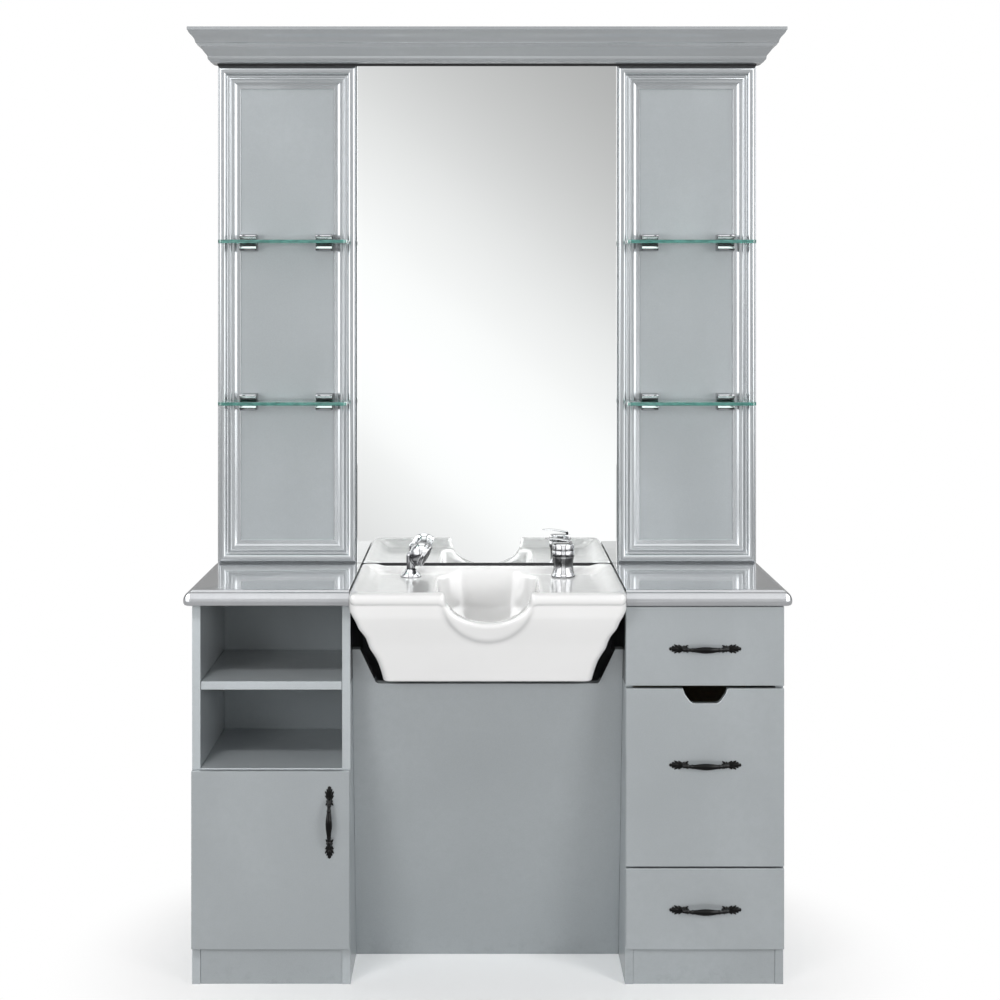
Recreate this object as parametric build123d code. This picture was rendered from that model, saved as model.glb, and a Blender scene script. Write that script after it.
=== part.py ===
"""Salon styling station with wash bowl, mirror, crown and two storage bases.

Frame: millimetres, +Z up, +X to the user's right, -Y towards the user.
The origin is on the floor, under the middle of the overall box.
"""
from build123d import *
import os

os.makedirs("parts", exist_ok=True)

# ---- driving dimensions -------------------------------------------------
BACK_Y = 280.0            # wall plane
FRONT_Y = -185.0          # front edges of the cabinet sides
T = 18.0                  # board thickness
T_BACK = 12.0             # back board thickness
HALF_W = 642.0            # half width over the cabinet sides
BAY = 298.0               # half width of the open bay between the cabinets
BACK_BOARD_Y = 225.0      # front face of the cabinet back boards

COUNTER_LOW = 826.0
COUNTER_TOP = 860.0
COUNTER_STEP = 1.5        # raised flat on the counter top
COUNTER_FRONT = -226.0
COUNTER_SIDE = 658.0
COUNTER_R = 14.0

KICK_H = 80.0
DIVIDER_TOP = 469.0
SHELF_TOP = 657.0

FACE_BACK = -188.0        # back face of the door and drawer fronts
FACE_FRONT = -206.0
FACE_IN = 299.0           # inner edge of the door and drawer fronts
FACE_OUT = 641.0
DOOR_LOW = 82.0
DOOR_TOP = 467.0

TOWER_IN = 311.0
TOWER_TOP = 2045.0
BOARD_Y = 262.0           # front face of the recessed tower boards
TOWER_Y = 240.0           # front of the tower mouldings
MOULD_W = 54.0
OVERALL_TOP = 2130.0
CROWN_P = 64.0            # crown projection

BOWL_W = 296.0            # half width of the wash bowl
BOWL_FRONT = -280.0
BOWL_REAR = 232.0
BOWL_TOP = 862.0
BOWL_LOW = 655.0
DECK_Z = 840.0            # floor of the side trays
TUB_FLOOR = 700.0
WALL = 14.0               # ceramic wall
NECK_R = 92.0
NECK_LOW = 756.0
DRAIN = (0.0, 30.0)
SPRAY = (-178.0, 150.0)
MIXER = (178.0, 150.0)

PANEL_TILT = 12.0
PANEL_FOOT_Y = 20.0

GLASS_L = 300.0
GLASS_D = 115.0
GLASS_T = 8.0
GLASS_BACK = 237.0
GLASS_Z = (1245.0, 1623.0)
TOWER_MID = (TOWER_IN + HALF_W) / 2
CLIP_X = 90.0

HANDLE_L = 157.0
HANDLE_OUT = 27.0
DOOR_HANDLE = (-342.0, 357.0)
DRAWERS = {
    # name: (front low, front top, box low, box top, handle height)
    "top": (652.0, 823.0, 672.0, 792.0, 732.0),
    "middle": (261.0, 646.0, 285.0, 575.0, 481.0),
    "bottom": (82.0, 257.0, 104.0, 226.0, 168.0),
}
RUNNER_T = 12.7
RUNNER_L = 400.0
BOX_L = 400.0
BOX_T = 12.0
DRAWER_MID = (316.0 + 624.0) / 2

HINGE_X = -632.0
HINGE_Y = -197.0
HINGE_Z = (145.0, 405.0)
POCKET_H = 50.0
PIN_R = 2.0
KNUCKLE_R = 3.6


# ---- helpers ------------------------------------------------------------
def block(x, y, z):
    """Box from three (low, high) pairs."""
    size = [hi - lo for lo, hi in (x, y, z)]
    mid = [(hi + lo) / 2 for lo, hi in (x, y, z)]
    return Pos(*mid) * Box(*size)


def rod(x, y, z0, z1, r):
    """Upright cylinder between two heights."""
    return Pos(x, y, (z0 + z1) / 2) * Cylinder(r, z1 - z0)


def rod_y(x, z, y0, y1, r):
    """Cylinder along Y between two depths."""
    return Pos(x, (y0 + y1) / 2, z) * Rot(90, 0, 0) * Cylinder(r, y1 - y0)


def rod_x(y, z, x0, x1, r):
    """Cylinder along X between two positions."""
    return Pos((x0 + x1) / 2, y, z) * Rot(0, 90, 0) * Cylinder(r, x1 - x0)


def save(name, *solids):
    """Write one node, made of one or more solids."""
    shape = solids[0] if len(solids) == 1 else Compound(children=list(solids))
    shape.label = name
    export_step(shape, f"parts/{name}.step")


def sides(a, b, side):
    """Ordered x pair on the left (-1) or right (+1) side."""
    return tuple(sorted((side * a, side * b)))


# ---- carcass ------------------------------------------------------------
def side_board(x, pocket_z=()):
    """Upright cabinet side with 5 mm shelf pin holes when asked for."""
    solid = block(x, (FRONT_Y, BACK_Y), (0, COUNTER_LOW))
    inner = x[1] if x[1] < -400 else x[0]
    for z in pocket_z:
        for y in (-120.0, 160.0):
            solid -= rod_x(y, z, inner - 10, inner + 10, 2.5)
    return solid


def carcass():
    """Both storage bases without their doors and drawers."""
    pins = (SHELF_TOP - T - 4.0,)
    outer = (-HALF_W, -HALF_W + T)
    inner = (-BAY - T, -BAY)
    save("left_outer_side", side_board(outer, pins))
    save("left_inner_side", side_board(inner, pins))
    save("right_inner_side", side_board((BAY, BAY + T)))
    save("right_outer_side", side_board((HALF_W - T, HALF_W)))
    bottoms = []
    backs = []
    kicks = []
    for side in (-1, 1):
        x = sides(BAY + T, HALF_W - T, side)
        depth = (FRONT_Y, BACK_BOARD_Y)
        bottoms.append(block(x, depth, (KICK_H, KICK_H + T)))
        backs.append(block(x, (BACK_BOARD_Y, BACK_BOARD_Y + T_BACK),
                           (KICK_H, COUNTER_LOW)))
        kicks.append(block(x, (FRONT_Y + 2, FRONT_Y + 2 + T), (0, KICK_H)))
    backs.append(block((-BAY, BAY), (BACK_Y - T_BACK, BACK_Y), (KICK_H, 700)))
    save("bottom_boards", *bottoms)
    save("back_boards", *backs)
    save("kick_boards", *kicks)
    x = sides(BAY + T, HALF_W - T, -1)
    divider = block(x, (FRONT_Y, BACK_BOARD_Y), (DIVIDER_TOP - T, DIVIDER_TOP))
    save("left_divider_board", divider)
    shelf = block((x[0] + 1, x[1] - 1), (FRONT_Y + 2, BACK_BOARD_Y - 1),
                  (SHELF_TOP - T, SHELF_TOP))
    save("left_middle_shelf", shelf)
    save("shelf_pins", *shelf_pins(x, pins[0]))
    save("top_rails", *top_rails())


def shelf_pins(x, z):
    """Four pegs that carry the middle shelf."""
    pegs = []
    for wall, way in ((x[0], 1), (x[1], -1)):
        for y in (-120.0, 160.0):
            a, b = sorted((wall - way * 9.0, wall + way * 10.0))
            peg = rod_x(y, z, a, b, 2.5)
            pad = block(sorted((wall, wall + way * 10.0)), (y - 5, y + 5),
                        (z + 2, SHELF_TOP - T))
            pegs.append(peg + pad)
    return pegs


def top_rails():
    """Rails that tie the sides together under each counter."""
    rails = []
    z = (COUNTER_LOW - T, COUNTER_LOW)
    left = sides(BAY + T, HALF_W - T, -1)
    right = sides(BAY + T, HALF_W - T, 1)
    rails.append(block(left, (-60, 20), z))
    rails.append(block(left, (BACK_BOARD_Y - 80, BACK_BOARD_Y), z))
    rails.append(block(right, (FRONT_Y, FRONT_Y + 80), z))
    rails.append(block(right, (BACK_BOARD_Y - 80, BACK_BOARD_Y), z))
    return rails


# ---- bay between the cabinets -------------------------------------------
def centre_panel():
    """Sloping knee panel with a notch under the bowl."""
    plane = Plane(origin=(0, PANEL_FOOT_Y, 0), x_dir=(1, 0, 0),
                  z_dir=Vector(0, -1, 0).rotate(Axis.X, PANEL_TILT))
    rise = 1 / plane.y_dir.Z
    top = 718.0 * rise
    dip = 640.0 * rise
    pts = [(-BAY, 0), (BAY, 0), (BAY, top), (280, top), (245, dip),
           (-245, dip), (-280, top), (-BAY, top)]
    face = make_face(Polyline(*pts, close=True))
    corners = [v for v in face.vertices() if abs(v.Y - dip) < 0.5]
    face = fillet(corners, 8)
    panel = extrude(plane * face, -T)
    save("centre_panel", panel)
    strips = []
    for side in (-1, 1):
        a, b = sides(BAY - 30, BAY, side)
        strip = make_face(Polyline((a, 60), (b, 60), (b, 620), (a, 620),
                                   close=True))
        strips.append(extrude(plane.offset(-T) * strip, -T))
    save("panel_battens", *strips)


def bay_rail():
    """Rear rail across the bay, with four wall fixing holes."""
    rail = block((-BAY, BAY), (244, BACK_Y), (700, COUNTER_TOP))
    for x in (-250.0, 250.0):
        for z in (730.0, 830.0):
            rail -= rod_y(x, z, 240, BACK_Y + 2, 4.0)
    for x in (-100.0, 100.0):
        rail -= rod_y(x, 722.0, 240, BACK_Y + 2, 3.0)
    save("bay_rear_rail", rail)


def bowl_bracket():
    """Welded steel bracket: back plate, two arms and two gussets."""
    plate = block((-130, 130), (238, 244), (560, 735))
    for x in (-100.0, 100.0):
        plate -= rod_y(x, 722.0, 230, 250, 3.0)
    solid = plate
    for x in (-55.0, 55.0):
        solid += block((x - 15, x + 15), (-90, 238), (680, 686))
        tri = make_face(Polyline((238, 680), (60, 680), (238, 570),
                                 close=True))
        gusset = extrude(Plane.YZ.offset(x - 3) * tri, 6)
        solid += gusset
    save("bowl_bracket", solid)


# ---- wash bowl ----------------------------------------------------------
BOWL_SECTIONS = (
    # height, half width, front, rear
    (BOWL_LOW, 225.0, -175.0, 190.0),
    (702.0, 241.0, -200.0, 203.0),
    (745.0, 258.0, -223.0, 213.0),
    (782.0, 281.0, -247.0, 221.0),
    (812.0, 294.0, -267.0, 228.0),
    (BOWL_TOP, BOWL_W, BOWL_FRONT, BOWL_REAR),
)


def ring_face(z, half, front, rear, radius):
    """Rounded rectangle at one height."""
    mid = (front + rear) / 2
    face = RectangleRounded(2 * half, rear - front, radius)
    return Pos(0, mid, z) * face


def bowl():
    """Ceramic bowl: centre tub, two side trays, neck cut and open skirt."""
    outer = loft([ring_face(z, w, f, r, 22) for z, w, f, r in BOWL_SECTIONS],
                 ruled=True)
    inner = [ring_face(z, w - WALL, f + WALL, r - WALL, 12)
             for z, w, f, r in BOWL_SECTIONS[:-1]]
    inner.append(ring_face(DECK_Z - WALL, 281, -258, 215, 12))
    inner[0] = Pos(0, 0, -1) * inner[0]
    cavity = loft(inner, ruled=True)
    tub = [ring_face(TUB_FLOOR, 82, -150, 150, 60),
           ring_face(760, 108, -205, 185, 70),
           ring_face(BOWL_TOP + 2, 118, -232, 200, 76)]
    tub_skin = [ring_face(TUB_FLOOR - WALL, 92, -164, 164, 60),
                ring_face(760, 122, -219, 199, 70),
                ring_face(BOWL_TOP + 2, 132, -246, 214, 76)]
    body = outer - cavity + (loft(tub_skin, ruled=True) & outer)
    body -= loft(tub, ruled=True)
    for side in (-1, 1):
        tray = ring_face(DECK_Z, 82, -246, 214, 34)
        tray = Pos(side * 192, 0, 0) * extrude(tray, 40)
        body -= tray
    body -= neck_cut()
    body -= block((-150, 150), (150, 260), (BOWL_LOW - 5, TUB_FLOOR - WALL + 2))
    body -= rod(*DRAIN, TUB_FLOOR - WALL - 2, TUB_FLOOR + 2, 24)
    body -= rod(*SPRAY, 800, 860, 14)
    body -= rod(*MIXER, 800, 860, 17)
    save("bowl", body)


def neck_cut():
    """U shaped opening through the front wall."""
    centre = NECK_LOW + NECK_R
    circle = Pos(0, centre) * Circle(NECK_R)
    upper = Pos(0, centre + 30) * Rectangle(2 * NECK_R, 60)
    return extrude(Plane.XZ.offset(160) * (circle + upper), 140)


def drain():
    """Strainer in the tub floor with its nut and tail pipe."""
    flange = rod(*DRAIN, TUB_FLOOR, TUB_FLOOR + 3, 34)
    neck = rod(*DRAIN, TUB_FLOOR - 30, TUB_FLOOR, 23.5)
    strainer = flange + neck
    strainer -= rod(*DRAIN, TUB_FLOOR - 32, TUB_FLOOR - 2, 20)
    for k in range(6):
        hole = Pos(*DRAIN) * Rot(0, 0, 60 * k) * Pos(12, 0, TUB_FLOOR)
        strainer -= hole * Cylinder(3.5, 12)
    strainer -= rod(*DRAIN, TUB_FLOOR - 6, TUB_FLOOR + 6, 4)
    save("drain_strainer", strainer)
    pipe = rod(*DRAIN, 540, TUB_FLOOR - 30, 19)
    collar = rod(*DRAIN, TUB_FLOOR - 30, TUB_FLOOR - WALL, 32)
    collar -= rod(*DRAIN, TUB_FLOOR - 30, TUB_FLOOR - WALL, 23.5)
    tail = pipe + collar + rod(*DRAIN, TUB_FLOOR - 36, TUB_FLOOR - 30, 32)
    tail -= rod(*DRAIN, 535, TUB_FLOOR - 28, 16)
    save("drain_tailpiece", tail)


# ---- tap ---------------------------------------------------------------
def mixer():
    """Single lever mixer: fixed body, turning cap and lifting lever."""
    x, y = MIXER
    z = DECK_Z
    bell = [(0, 0), (27.5, 0), (27.5, 4), (24.5, 12), (22.5, 26),
            (23, 40), (26, 52), (26, 62), (0, 62)]
    face = make_face(Polyline(*bell, close=True))
    body = Pos(x, y, z) * revolve(Plane.XZ * face, Axis.Z)
    body += rod(x, y, z - 60, z, 13)
    body += rod(x, y, z + 62, z + 74, 12)
    body -= rod(x, y, z - 62, z - 20, 9)
    save("mixer_body", body)
    cap = rod(x, y, z + 62.3, z + 79, 26)
    cap -= rod(x, y, z + 60, z + 74.3, 12.05)
    pivot = (x + 17, z + 82.5)
    for side in (-1, 1):
        lug = block((x + 14.3, x + 19.7), sorted((y + side * 8, y + side * 11)),
                    (z + 79, z + 85.5))
        cap += lug
    cap += rod_y(*pivot, y - 9, y + 9, 1.5)
    save("mixer_cap", cap)
    plate = block((x - 43, x + 12), (y - 11, y + 11), (z + 80, z + 85))
    plate += block((x - 43, x - 20), (y - 11, y + 11), (z + 85, z + 92))
    tip = [e for e in plate.edges().filter_by(Axis.Z) if e.center().X < x - 42]
    plate = fillet(tip, 9)
    tongue = block((x + 10, x + 17), (y - 7.6, y + 7.6), (z + 80, z + 85))
    lever = plate + tongue + rod_y(*pivot, y - 7.6, y + 7.6, 2.9)
    lever -= rod_y(*pivot, y - 12, y + 12, 1.55)
    save("mixer_lever", lever)


def tap_nuts():
    """Clamping nuts under the bowl deck."""
    nuts = []
    low, high = DECK_Z - WALL - 16, DECK_Z - WALL
    for x, y in (SPRAY, MIXER):
        nut = rod(x, y, low, high, 23) - rod(x, y, low - 1, high + 1, 13)
        nuts.append(nut)
    save("tap_nuts", *nuts)


def supply_hoses():
    """Two flexible mixer tails and the wall elbow of the spray hose."""
    x, y = MIXER
    tails = []
    for dx in (-4.2, 4.2):
        start = (x + dx, y, DECK_Z - 22)
        path = Spline(start, (x + dx * 4, y + 20, 650),
                      (x + dx * 6, y + 45, 480),
                      tangents=((0, 0, -1), (0, 0.3, -1)))
        tube = sweep(Plane(path @ 0, z_dir=path % 0) * Circle(3.8), path=path)
        tails.append(tube)
    x, y = SPRAY
    wall = BACK_Y - T_BACK
    elbow = rod(x, y, 280, 300, 9) + rod_y(x, 288, y, wall, 7)
    elbow += rod_y(x, 288, wall - 6, wall, 16)
    save("supply_hoses", *tails, elbow)


def spray():
    """Hand spray on its deck holder, with the hose below."""
    x, y = SPRAY
    z = DECK_Z
    holder = rod(x, y, z, z + 4, 24.5)
    holder += Pos(x, y, z + 11) * Cone(16, 12.5, 14)
    holder += rod(x, y, z - 40, z, 13)
    holder -= rod(x, y, z - 45, z + 30, 9)
    save("spray_holder", holder)
    stem = Pos(x, y, z + 30) * Cone(10, 14, 24)
    plug = rod(x, y, z + 2, z + 18.0, 8.95)
    head_axis = Plane(origin=(x + 27, y - 4, z + 55),
                      z_dir=Vector(0.80, -0.35, -0.5))
    head = extrude(head_axis * Circle(26), 20, both=False)
    head += extrude(head_axis * Circle(20), -22)
    neck = loft([Plane(origin=(x, y, z + 30)) * Circle(12),
                 Plane(origin=(x + 14, y - 2, z + 56),
                       z_dir=Vector(0.6, -0.1, 0.8)) * Circle(17)])
    body = stem + plug + neck + head
    tip = head_axis.offset(20)
    body -= extrude(tip * Circle(22), -4)
    body -= rod(x, y, z, z + 12, 6.0)
    save("spray_head", body)
    face = extrude(tip.offset(-4) * Circle(22), 3)
    save("spray_face", face)
    hose = rod(x, y, 300, z + 12, 6.0)
    save("spray_hose", hose)


# ---- counters -----------------------------------------------------------
def counter(side):
    """Counter slab with a rounded front and outer edge and a raised flat."""
    x = sides(BAY + 1, COUNTER_SIDE, side)
    low = COUNTER_TOP - COUNTER_STEP
    slab = block(x, (COUNTER_FRONT, BACK_Y), (COUNTER_LOW, low))
    outer_x = side * COUNTER_SIDE
    corner = [e for e in slab.edges().filter_by(Axis.Z)
              if abs(e.center().X - outer_x) < 1
              and abs(e.center().Y - COUNTER_FRONT) < 1]
    slab = fillet(corner, 16)
    rims = []
    for e in slab.edges():
        c = e.center()
        flat = abs(c.Z - low) < 0.1 or abs(c.Z - COUNTER_LOW) < 0.1
        front = c.Y < COUNTER_FRONT + 8
        out = abs(c.X - outer_x) < 8
        if flat and (front or out):
            rims.append(e)
    slab = fillet(rims, COUNTER_R)
    inset = 17.0
    top_x = sides(BAY + 1, COUNTER_SIDE - inset, side)
    top = block(top_x, (COUNTER_FRONT + inset, BACK_Y), (low, COUNTER_TOP))
    return slab + top


# ---- towers, mirror and crown ------------------------------------------
def mould_profile(plane):
    """Section of the tower moulding: width across, height proud."""
    start = Line((0, 0), (0, 13))
    bead = ThreePointArc((0, 13), (10.5, 22), (21, 13.5))
    step = Polyline((21, 13.5), (21.6, 12), (22.5, 11.6))
    cove = ThreePointArc((22.5, 11.6), (25, 10.6), (27.5, 12))
    rib = ThreePointArc((27.5, 12), (30.5, 15), (33.5, 12))
    bevel = Polyline((33.5, 12), (38.5, 10.8), (39.2, 9.6), (45.5, 7.4),
                     (46.2, 6.3), (MOULD_W, 4), (MOULD_W, 0), (0, 0))
    wire = start + bead + step + cove + rib + bevel
    return plane * make_face(wire)


def prism(points, z0, z1):
    """Upright prism over a flat outline."""
    return Pos(0, 0, z0) * extrude(make_face(Polyline(*points, close=True)),
                                   z1 - z0)


def mitre(points):
    """Prism along Y over an outline given in X and Z."""
    plane = Plane(origin=(0, 300, 0), x_dir=(1, 0, 0), z_dir=(0, -1, 0))
    face = plane * make_face(Polyline(*points, close=True))
    return extrude(face, 100, dir=(0, -1, 0))


def frame_piece(origin, across, along, length, corners):
    """One mitred length of the tower moulding."""
    plane = Plane(origin=origin, x_dir=across,
                  z_dir=Vector(*across).cross(Vector(0, -1, 0)))
    bar = extrude(mould_profile(plane), length, dir=along)
    return bar & mitre(corners)


def tower_moulding(x0, x1):
    """Picture frame of four mitred lengths around one tower."""
    z0, z1 = COUNTER_TOP, TOWER_TOP
    m = MOULD_W
    w, h = x1 - x0, z1 - z0
    y = BOARD_Y
    left = frame_piece((x0, y, z0), (1, 0, 0), (0, 0, 1), h,
                       [(x0, z0), (x0 + m, z0 + m), (x0 + m, z1 - m), (x0, z1)])
    right = frame_piece((x1, y, z0), (-1, 0, 0), (0, 0, 1), h,
                        [(x1, z0), (x1 - m, z0 + m), (x1 - m, z1 - m),
                         (x1, z1)])
    low = frame_piece((x0, y, z0), (0, 0, 1), (1, 0, 0), w,
                      [(x0, z0), (x1, z0), (x1 - m, z0 + m), (x0 + m, z0 + m)])
    high = frame_piece((x0, y, z1), (0, 0, -1), (1, 0, 0), w,
                       [(x0, z1), (x1, z1), (x1 - m, z1 - m), (x0 + m, z1 - m)])
    return left, right, low, high


def crown_face(plane):
    """Section of the crown: projection across, height up."""
    low = Polyline((0, 4), (8, 4), (9, 4.6))
    sweep_in = ThreePointArc((9, 4.6), (14.5, 6.4), (17, 10))
    bead = ThreePointArc((17, 10), (21.5, 15.5), (20.5, 21))
    mid = Polyline((20.5, 21), (22, 23), (31, 34), (39, 41.5), (39, 43.5),
                   (43, 44.5), (43, 47.5), (46, 49))
    cove = ThreePointArc((46, 49), (49, 58.5), (56, 66.5))
    top = Polyline((56, 66.5), (60.5, 72), (62, 76.5), (64, 77), (64, 85),
                   (0, 85), (0, 4))
    return plane * make_face(low + sweep_in + bead + mid + cove + top)


def crown():
    """Crown moulding in three mitred lengths around the head of the unit."""
    a, b = HALF_W, HALF_W + CROWN_P
    f, g = TOWER_Y, TOWER_Y - CROWN_P
    z0, z1 = TOWER_TOP, OVERALL_TOP
    face = crown_face(Plane(origin=(b, f, z0), x_dir=(0, -1, 0),
                            z_dir=(-1, 0, 0)))
    front = extrude(face, 2 * b, dir=(-1, 0, 0))
    front &= prism([(-a, f), (a, f), (b, g), (-b, g)], z0, z1)
    lengths = [front]
    for side in (-1, 1):
        face = crown_face(Plane(origin=(side * a, g, z0), x_dir=(side, 0, 0),
                                z_dir=(0, -side, 0)))
        piece = extrude(face, BACK_Y - g, dir=(0, 1, 0))
        piece &= prism([(side * a, f), (side * b, g), (side * b, BACK_Y),
                        (side * a, BACK_Y)], z0, z1)
        lengths.append(piece)
    return lengths


def head():
    """Crown with the boards that carry and close it."""
    save("crown_moulding", *crown())
    core = block((-HALF_W, HALF_W), (TOWER_Y, BACK_Y),
                 (TOWER_TOP, OVERALL_TOP - 12))
    core -= block((-HALF_W + 40, HALF_W - 40), (TOWER_Y + 18, BACK_Y - 12),
                  (TOWER_TOP + 12, OVERALL_TOP - 12))
    for x in (-480.0, 480.0):
        core -= rod_y(x, 2095.0, BACK_Y - 20, BACK_Y + 5, 4.0)
    cover = block((-HALF_W, HALF_W), (TOWER_Y, BACK_Y),
                  (OVERALL_TOP - 12, OVERALL_TOP))
    save("crown_core", core, cover)


def towers():
    """Recessed boards and framed fronts either side of the mirror."""
    boards = []
    for name, side in (("left", -1), ("right", 1)):
        x = sides(TOWER_IN, HALF_W, side)
        board = block(x, (BOARD_Y, BACK_Y), (COUNTER_TOP, TOWER_TOP))
        for z in GLASS_Z:
            for dx in (-CLIP_X, CLIP_X):
                board -= rod_y(side * TOWER_MID + dx, z, BOARD_Y - 2,
                               BACK_Y - 4, 2.5)
        boards.append(board)
        save(f"{name}_tower_moulding", *tower_moulding(*x))
    save("tower_boards", *boards)


def mirror_set():
    """Mirror glass on packers and a backboard."""
    x = (-TOWER_IN, TOWER_IN)
    z = (COUNTER_TOP, TOWER_TOP)
    backing = [block(x, (BOARD_Y, BACK_Y), z)]
    for px in (-250.0, 0.0, 250.0):
        backing.append(block((px - 30, px + 30), (250, BOARD_Y),
                             (COUNTER_TOP + 20, TOWER_TOP - 20)))
    save("mirror_backing", *backing)
    glass = block((-TOWER_IN + 1.5, TOWER_IN - 1.5), (245, 250), z)
    save("mirror_glass", glass)


def glass_shelves():
    """Four glass shelves in chrome clamps, with the fixing screws."""
    clips = []
    screws = []
    panes = []
    for side in (-1, 1):
        cx = side * TOWER_MID
        for z in GLASS_Z:
            pane = block((cx - GLASS_L / 2, cx + GLASS_L / 2),
                         (GLASS_BACK - GLASS_D, GLASS_BACK),
                         (z - GLASS_T / 2, z + GLASS_T / 2))
            corners = [e for e in pane.edges().filter_by(Axis.Z)
                       if e.center().Y < GLASS_BACK - 5]
            panes.append(fillet(corners, 10))
            for dx in (-CLIP_X, CLIP_X):
                clips.append(clip(cx + dx, z))
                screws.append(clip_screw(cx + dx, z))
    save("glass_shelves", *panes)
    save("shelf_clips", *clips)
    for x in (-100.0, 100.0):
        shank = rod_y(x, 722.0, 238, 276, 3.0)
        screws.append(shank + rod_y(x, 722.0, 233, 238, 5.0))
    save("fixing_screws", *screws)


def clip(x, z):
    """Clamp block with a slot for the glass and a screw hole."""
    body = block((x - 20, x + 20), (212, BOARD_Y), (z - 20, z + 20))
    body = fillet(body.edges().filter_by(Axis.X), 5)
    body -= block((x - 25, x + 25), (200, GLASS_BACK),
                  (z - GLASS_T / 2, z + GLASS_T / 2))
    body -= rod_y(x, z, GLASS_BACK - 1, BOARD_Y + 1, 2.5)
    return body


def clip_screw(x, z):
    """Screw from the clamp into the tower board."""
    return rod_y(x, z, GLASS_BACK + 2, BACK_Y - 5, 2.5)


# ---- door, drawers and handles -----------------------------------------
def leaf(side):
    """Openwork leaf end of a handle, in the XY plane."""
    pts = [(30, 0), (38, 5), (46, 10), (56, 8), (62, 10), (70, 6),
           (78.5, 0), (70, -6), (62, -10), (56, -8), (46, -10), (38, -5)]
    face = make_face(Spline([(side * a, b) for a, b in pts], periodic=True))
    face -= Pos(side * 57, 4.2) * Ellipse(5, 1.6)
    face -= Pos(side * 57, -4.2) * Ellipse(5, 1.6)
    return extrude(face, 3.5)


def handle_shape():
    """Handle lying along X, base on the XY plane, grip towards +Z."""
    grip = [(-60, 0), (-60, 2.5), (-48, 3.4), (-40, 4.6), (-34, 3.2),
            (-14, 5.4), (-9, 3.6), (-6, 5.6), (0, 6.3), (6, 5.6), (9, 3.6),
            (14, 5.4), (34, 3.2), (40, 4.6), (48, 3.4), (60, 2.5), (60, 0)]
    bar = revolve(make_face(Polyline(*grip, close=True)), Axis.X)
    solid = Pos(0, 0, HANDLE_OUT - 6.3) * bar
    for side in (-1, 1):
        solid += leaf(side)
        solid += Pos(side * 48, 0, 10) * Cone(6, 3.6, 20)
    return solid


def place_handle(x, z, upright):
    """Handle on a front face, across or upright."""
    turn = Rot(90, 0, 0) * Rot(0, 0, 90 if upright else 0)
    return Pos(x, FACE_FRONT, z) * turn * handle_shape()


def door():
    """Lower left door with its pocketed hinges."""
    x = (-FACE_OUT, -FACE_IN)
    panel = block(x, (FACE_FRONT, FACE_BACK), (DOOR_LOW, DOOR_TOP))
    edge = [e for e in panel.edges().filter_by(Axis.Z)
            if e.center().X < -600 and e.center().Y > FACE_BACK - 1]
    panel = fillet(edge, 3)
    for z in HINGE_Z:
        panel -= block((x[0] - 1, HINGE_X + 31), (HINGE_Y - 4.2, FACE_BACK + 1),
                       (z - POCKET_H / 2, z + POCKET_H / 2))
    save("door", panel)
    save("door_handle", place_handle(*DOOR_HANDLE, True))
    save("hinge_cups", *[hinge_cup(z) for z in HINGE_Z])
    save("hinge_arms", *[hinge_arm(z) for z in HINGE_Z])


def hinge_cup(z):
    """Two lugs, a base and the pin, fixed in the door pocket."""
    low, high = z - POCKET_H / 2, z + POCKET_H / 2
    x, y = HINGE_X, HINGE_Y
    base = block((x + 16, x + 29), (y - 4.2, y - 2.2), (low, high))
    cup = base + rod(x, y, low, high, PIN_R)
    for a, b in ((low, low + 3), (high - 3, high)):
        cup += block((x - 3, x + 29), (y - 4.2, y + 4), (a, b))
    return cup


def hinge_arm(z):
    """Cranked arm from the cabinet side to the hinge pin."""
    low, high = z - POCKET_H / 2 + 3.5, z + POCKET_H / 2 - 3.5
    x, y = HINGE_X, HINGE_Y
    arm = rod(x, y, low, high, KNUCKLE_R)
    arm += block((x, x + 13), (y - 1.25, y + 1.25), (low, high))
    arm += block((x + 10.5, x + 13), (y - 1.25, y + 26), (low, high))
    arm += block((x + 8, x + 10.5), (y + 14, y + 64), (low, high))
    arm -= rod(x, y, low - 1, high + 1, PIN_R + 0.05)
    return arm


def drawer(name, low, top, box_low, box_top, grip_z):
    """One drawer: face, box, bottom, handle and runner parts."""
    face = block((FACE_IN, FACE_OUT), (FACE_FRONT, FACE_BACK), (low, top))
    if name == "middle":
        face -= finger_cut(top)
    save(f"{name}_drawer_front", face)
    save(f"{name}_drawer_handle", place_handle(DRAWER_MID, grip_z, False))
    half = 154.0 - RUNNER_T
    x = (DRAWER_MID - half, DRAWER_MID + half)
    y = (FACE_BACK, FACE_BACK + BOX_L)
    box = block(x, y, (box_low, box_top))
    inside = ((x[0] + BOX_T, x[1] - BOX_T), (y[0] + BOX_T, y[1] - BOX_T))
    box -= block(*inside, (box_low - 1, box_top + 1))
    floor = block(*inside, (box_low + 4, box_low + 10))
    save(f"{name}_drawer_box", box, floor)
    return (box_low + 50.0) if name == "middle" else (box_low + box_top) / 2


def finger_cut(top):
    """Rounded finger opening in the top of the deep drawer front."""
    pts = [(-48.5, top + 5), (-48.5, top), (-44, top - 12), (-30, top - 32),
           (30, top - 32), (44, top - 12), (48.5, top), (48.5, top + 5)]
    face = make_face(Polyline(*pts, close=True))
    low = [v for v in face.vertices() if abs(v.Y - (top - 32)) < 0.5]
    face = fillet(low, 16)
    plane = Plane(origin=(DRAWER_MID, FACE_BACK + 5, 0), x_dir=(1, 0, 0),
                  z_dir=(0, -1, 0))
    return extrude(plane * face, 40)


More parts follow.
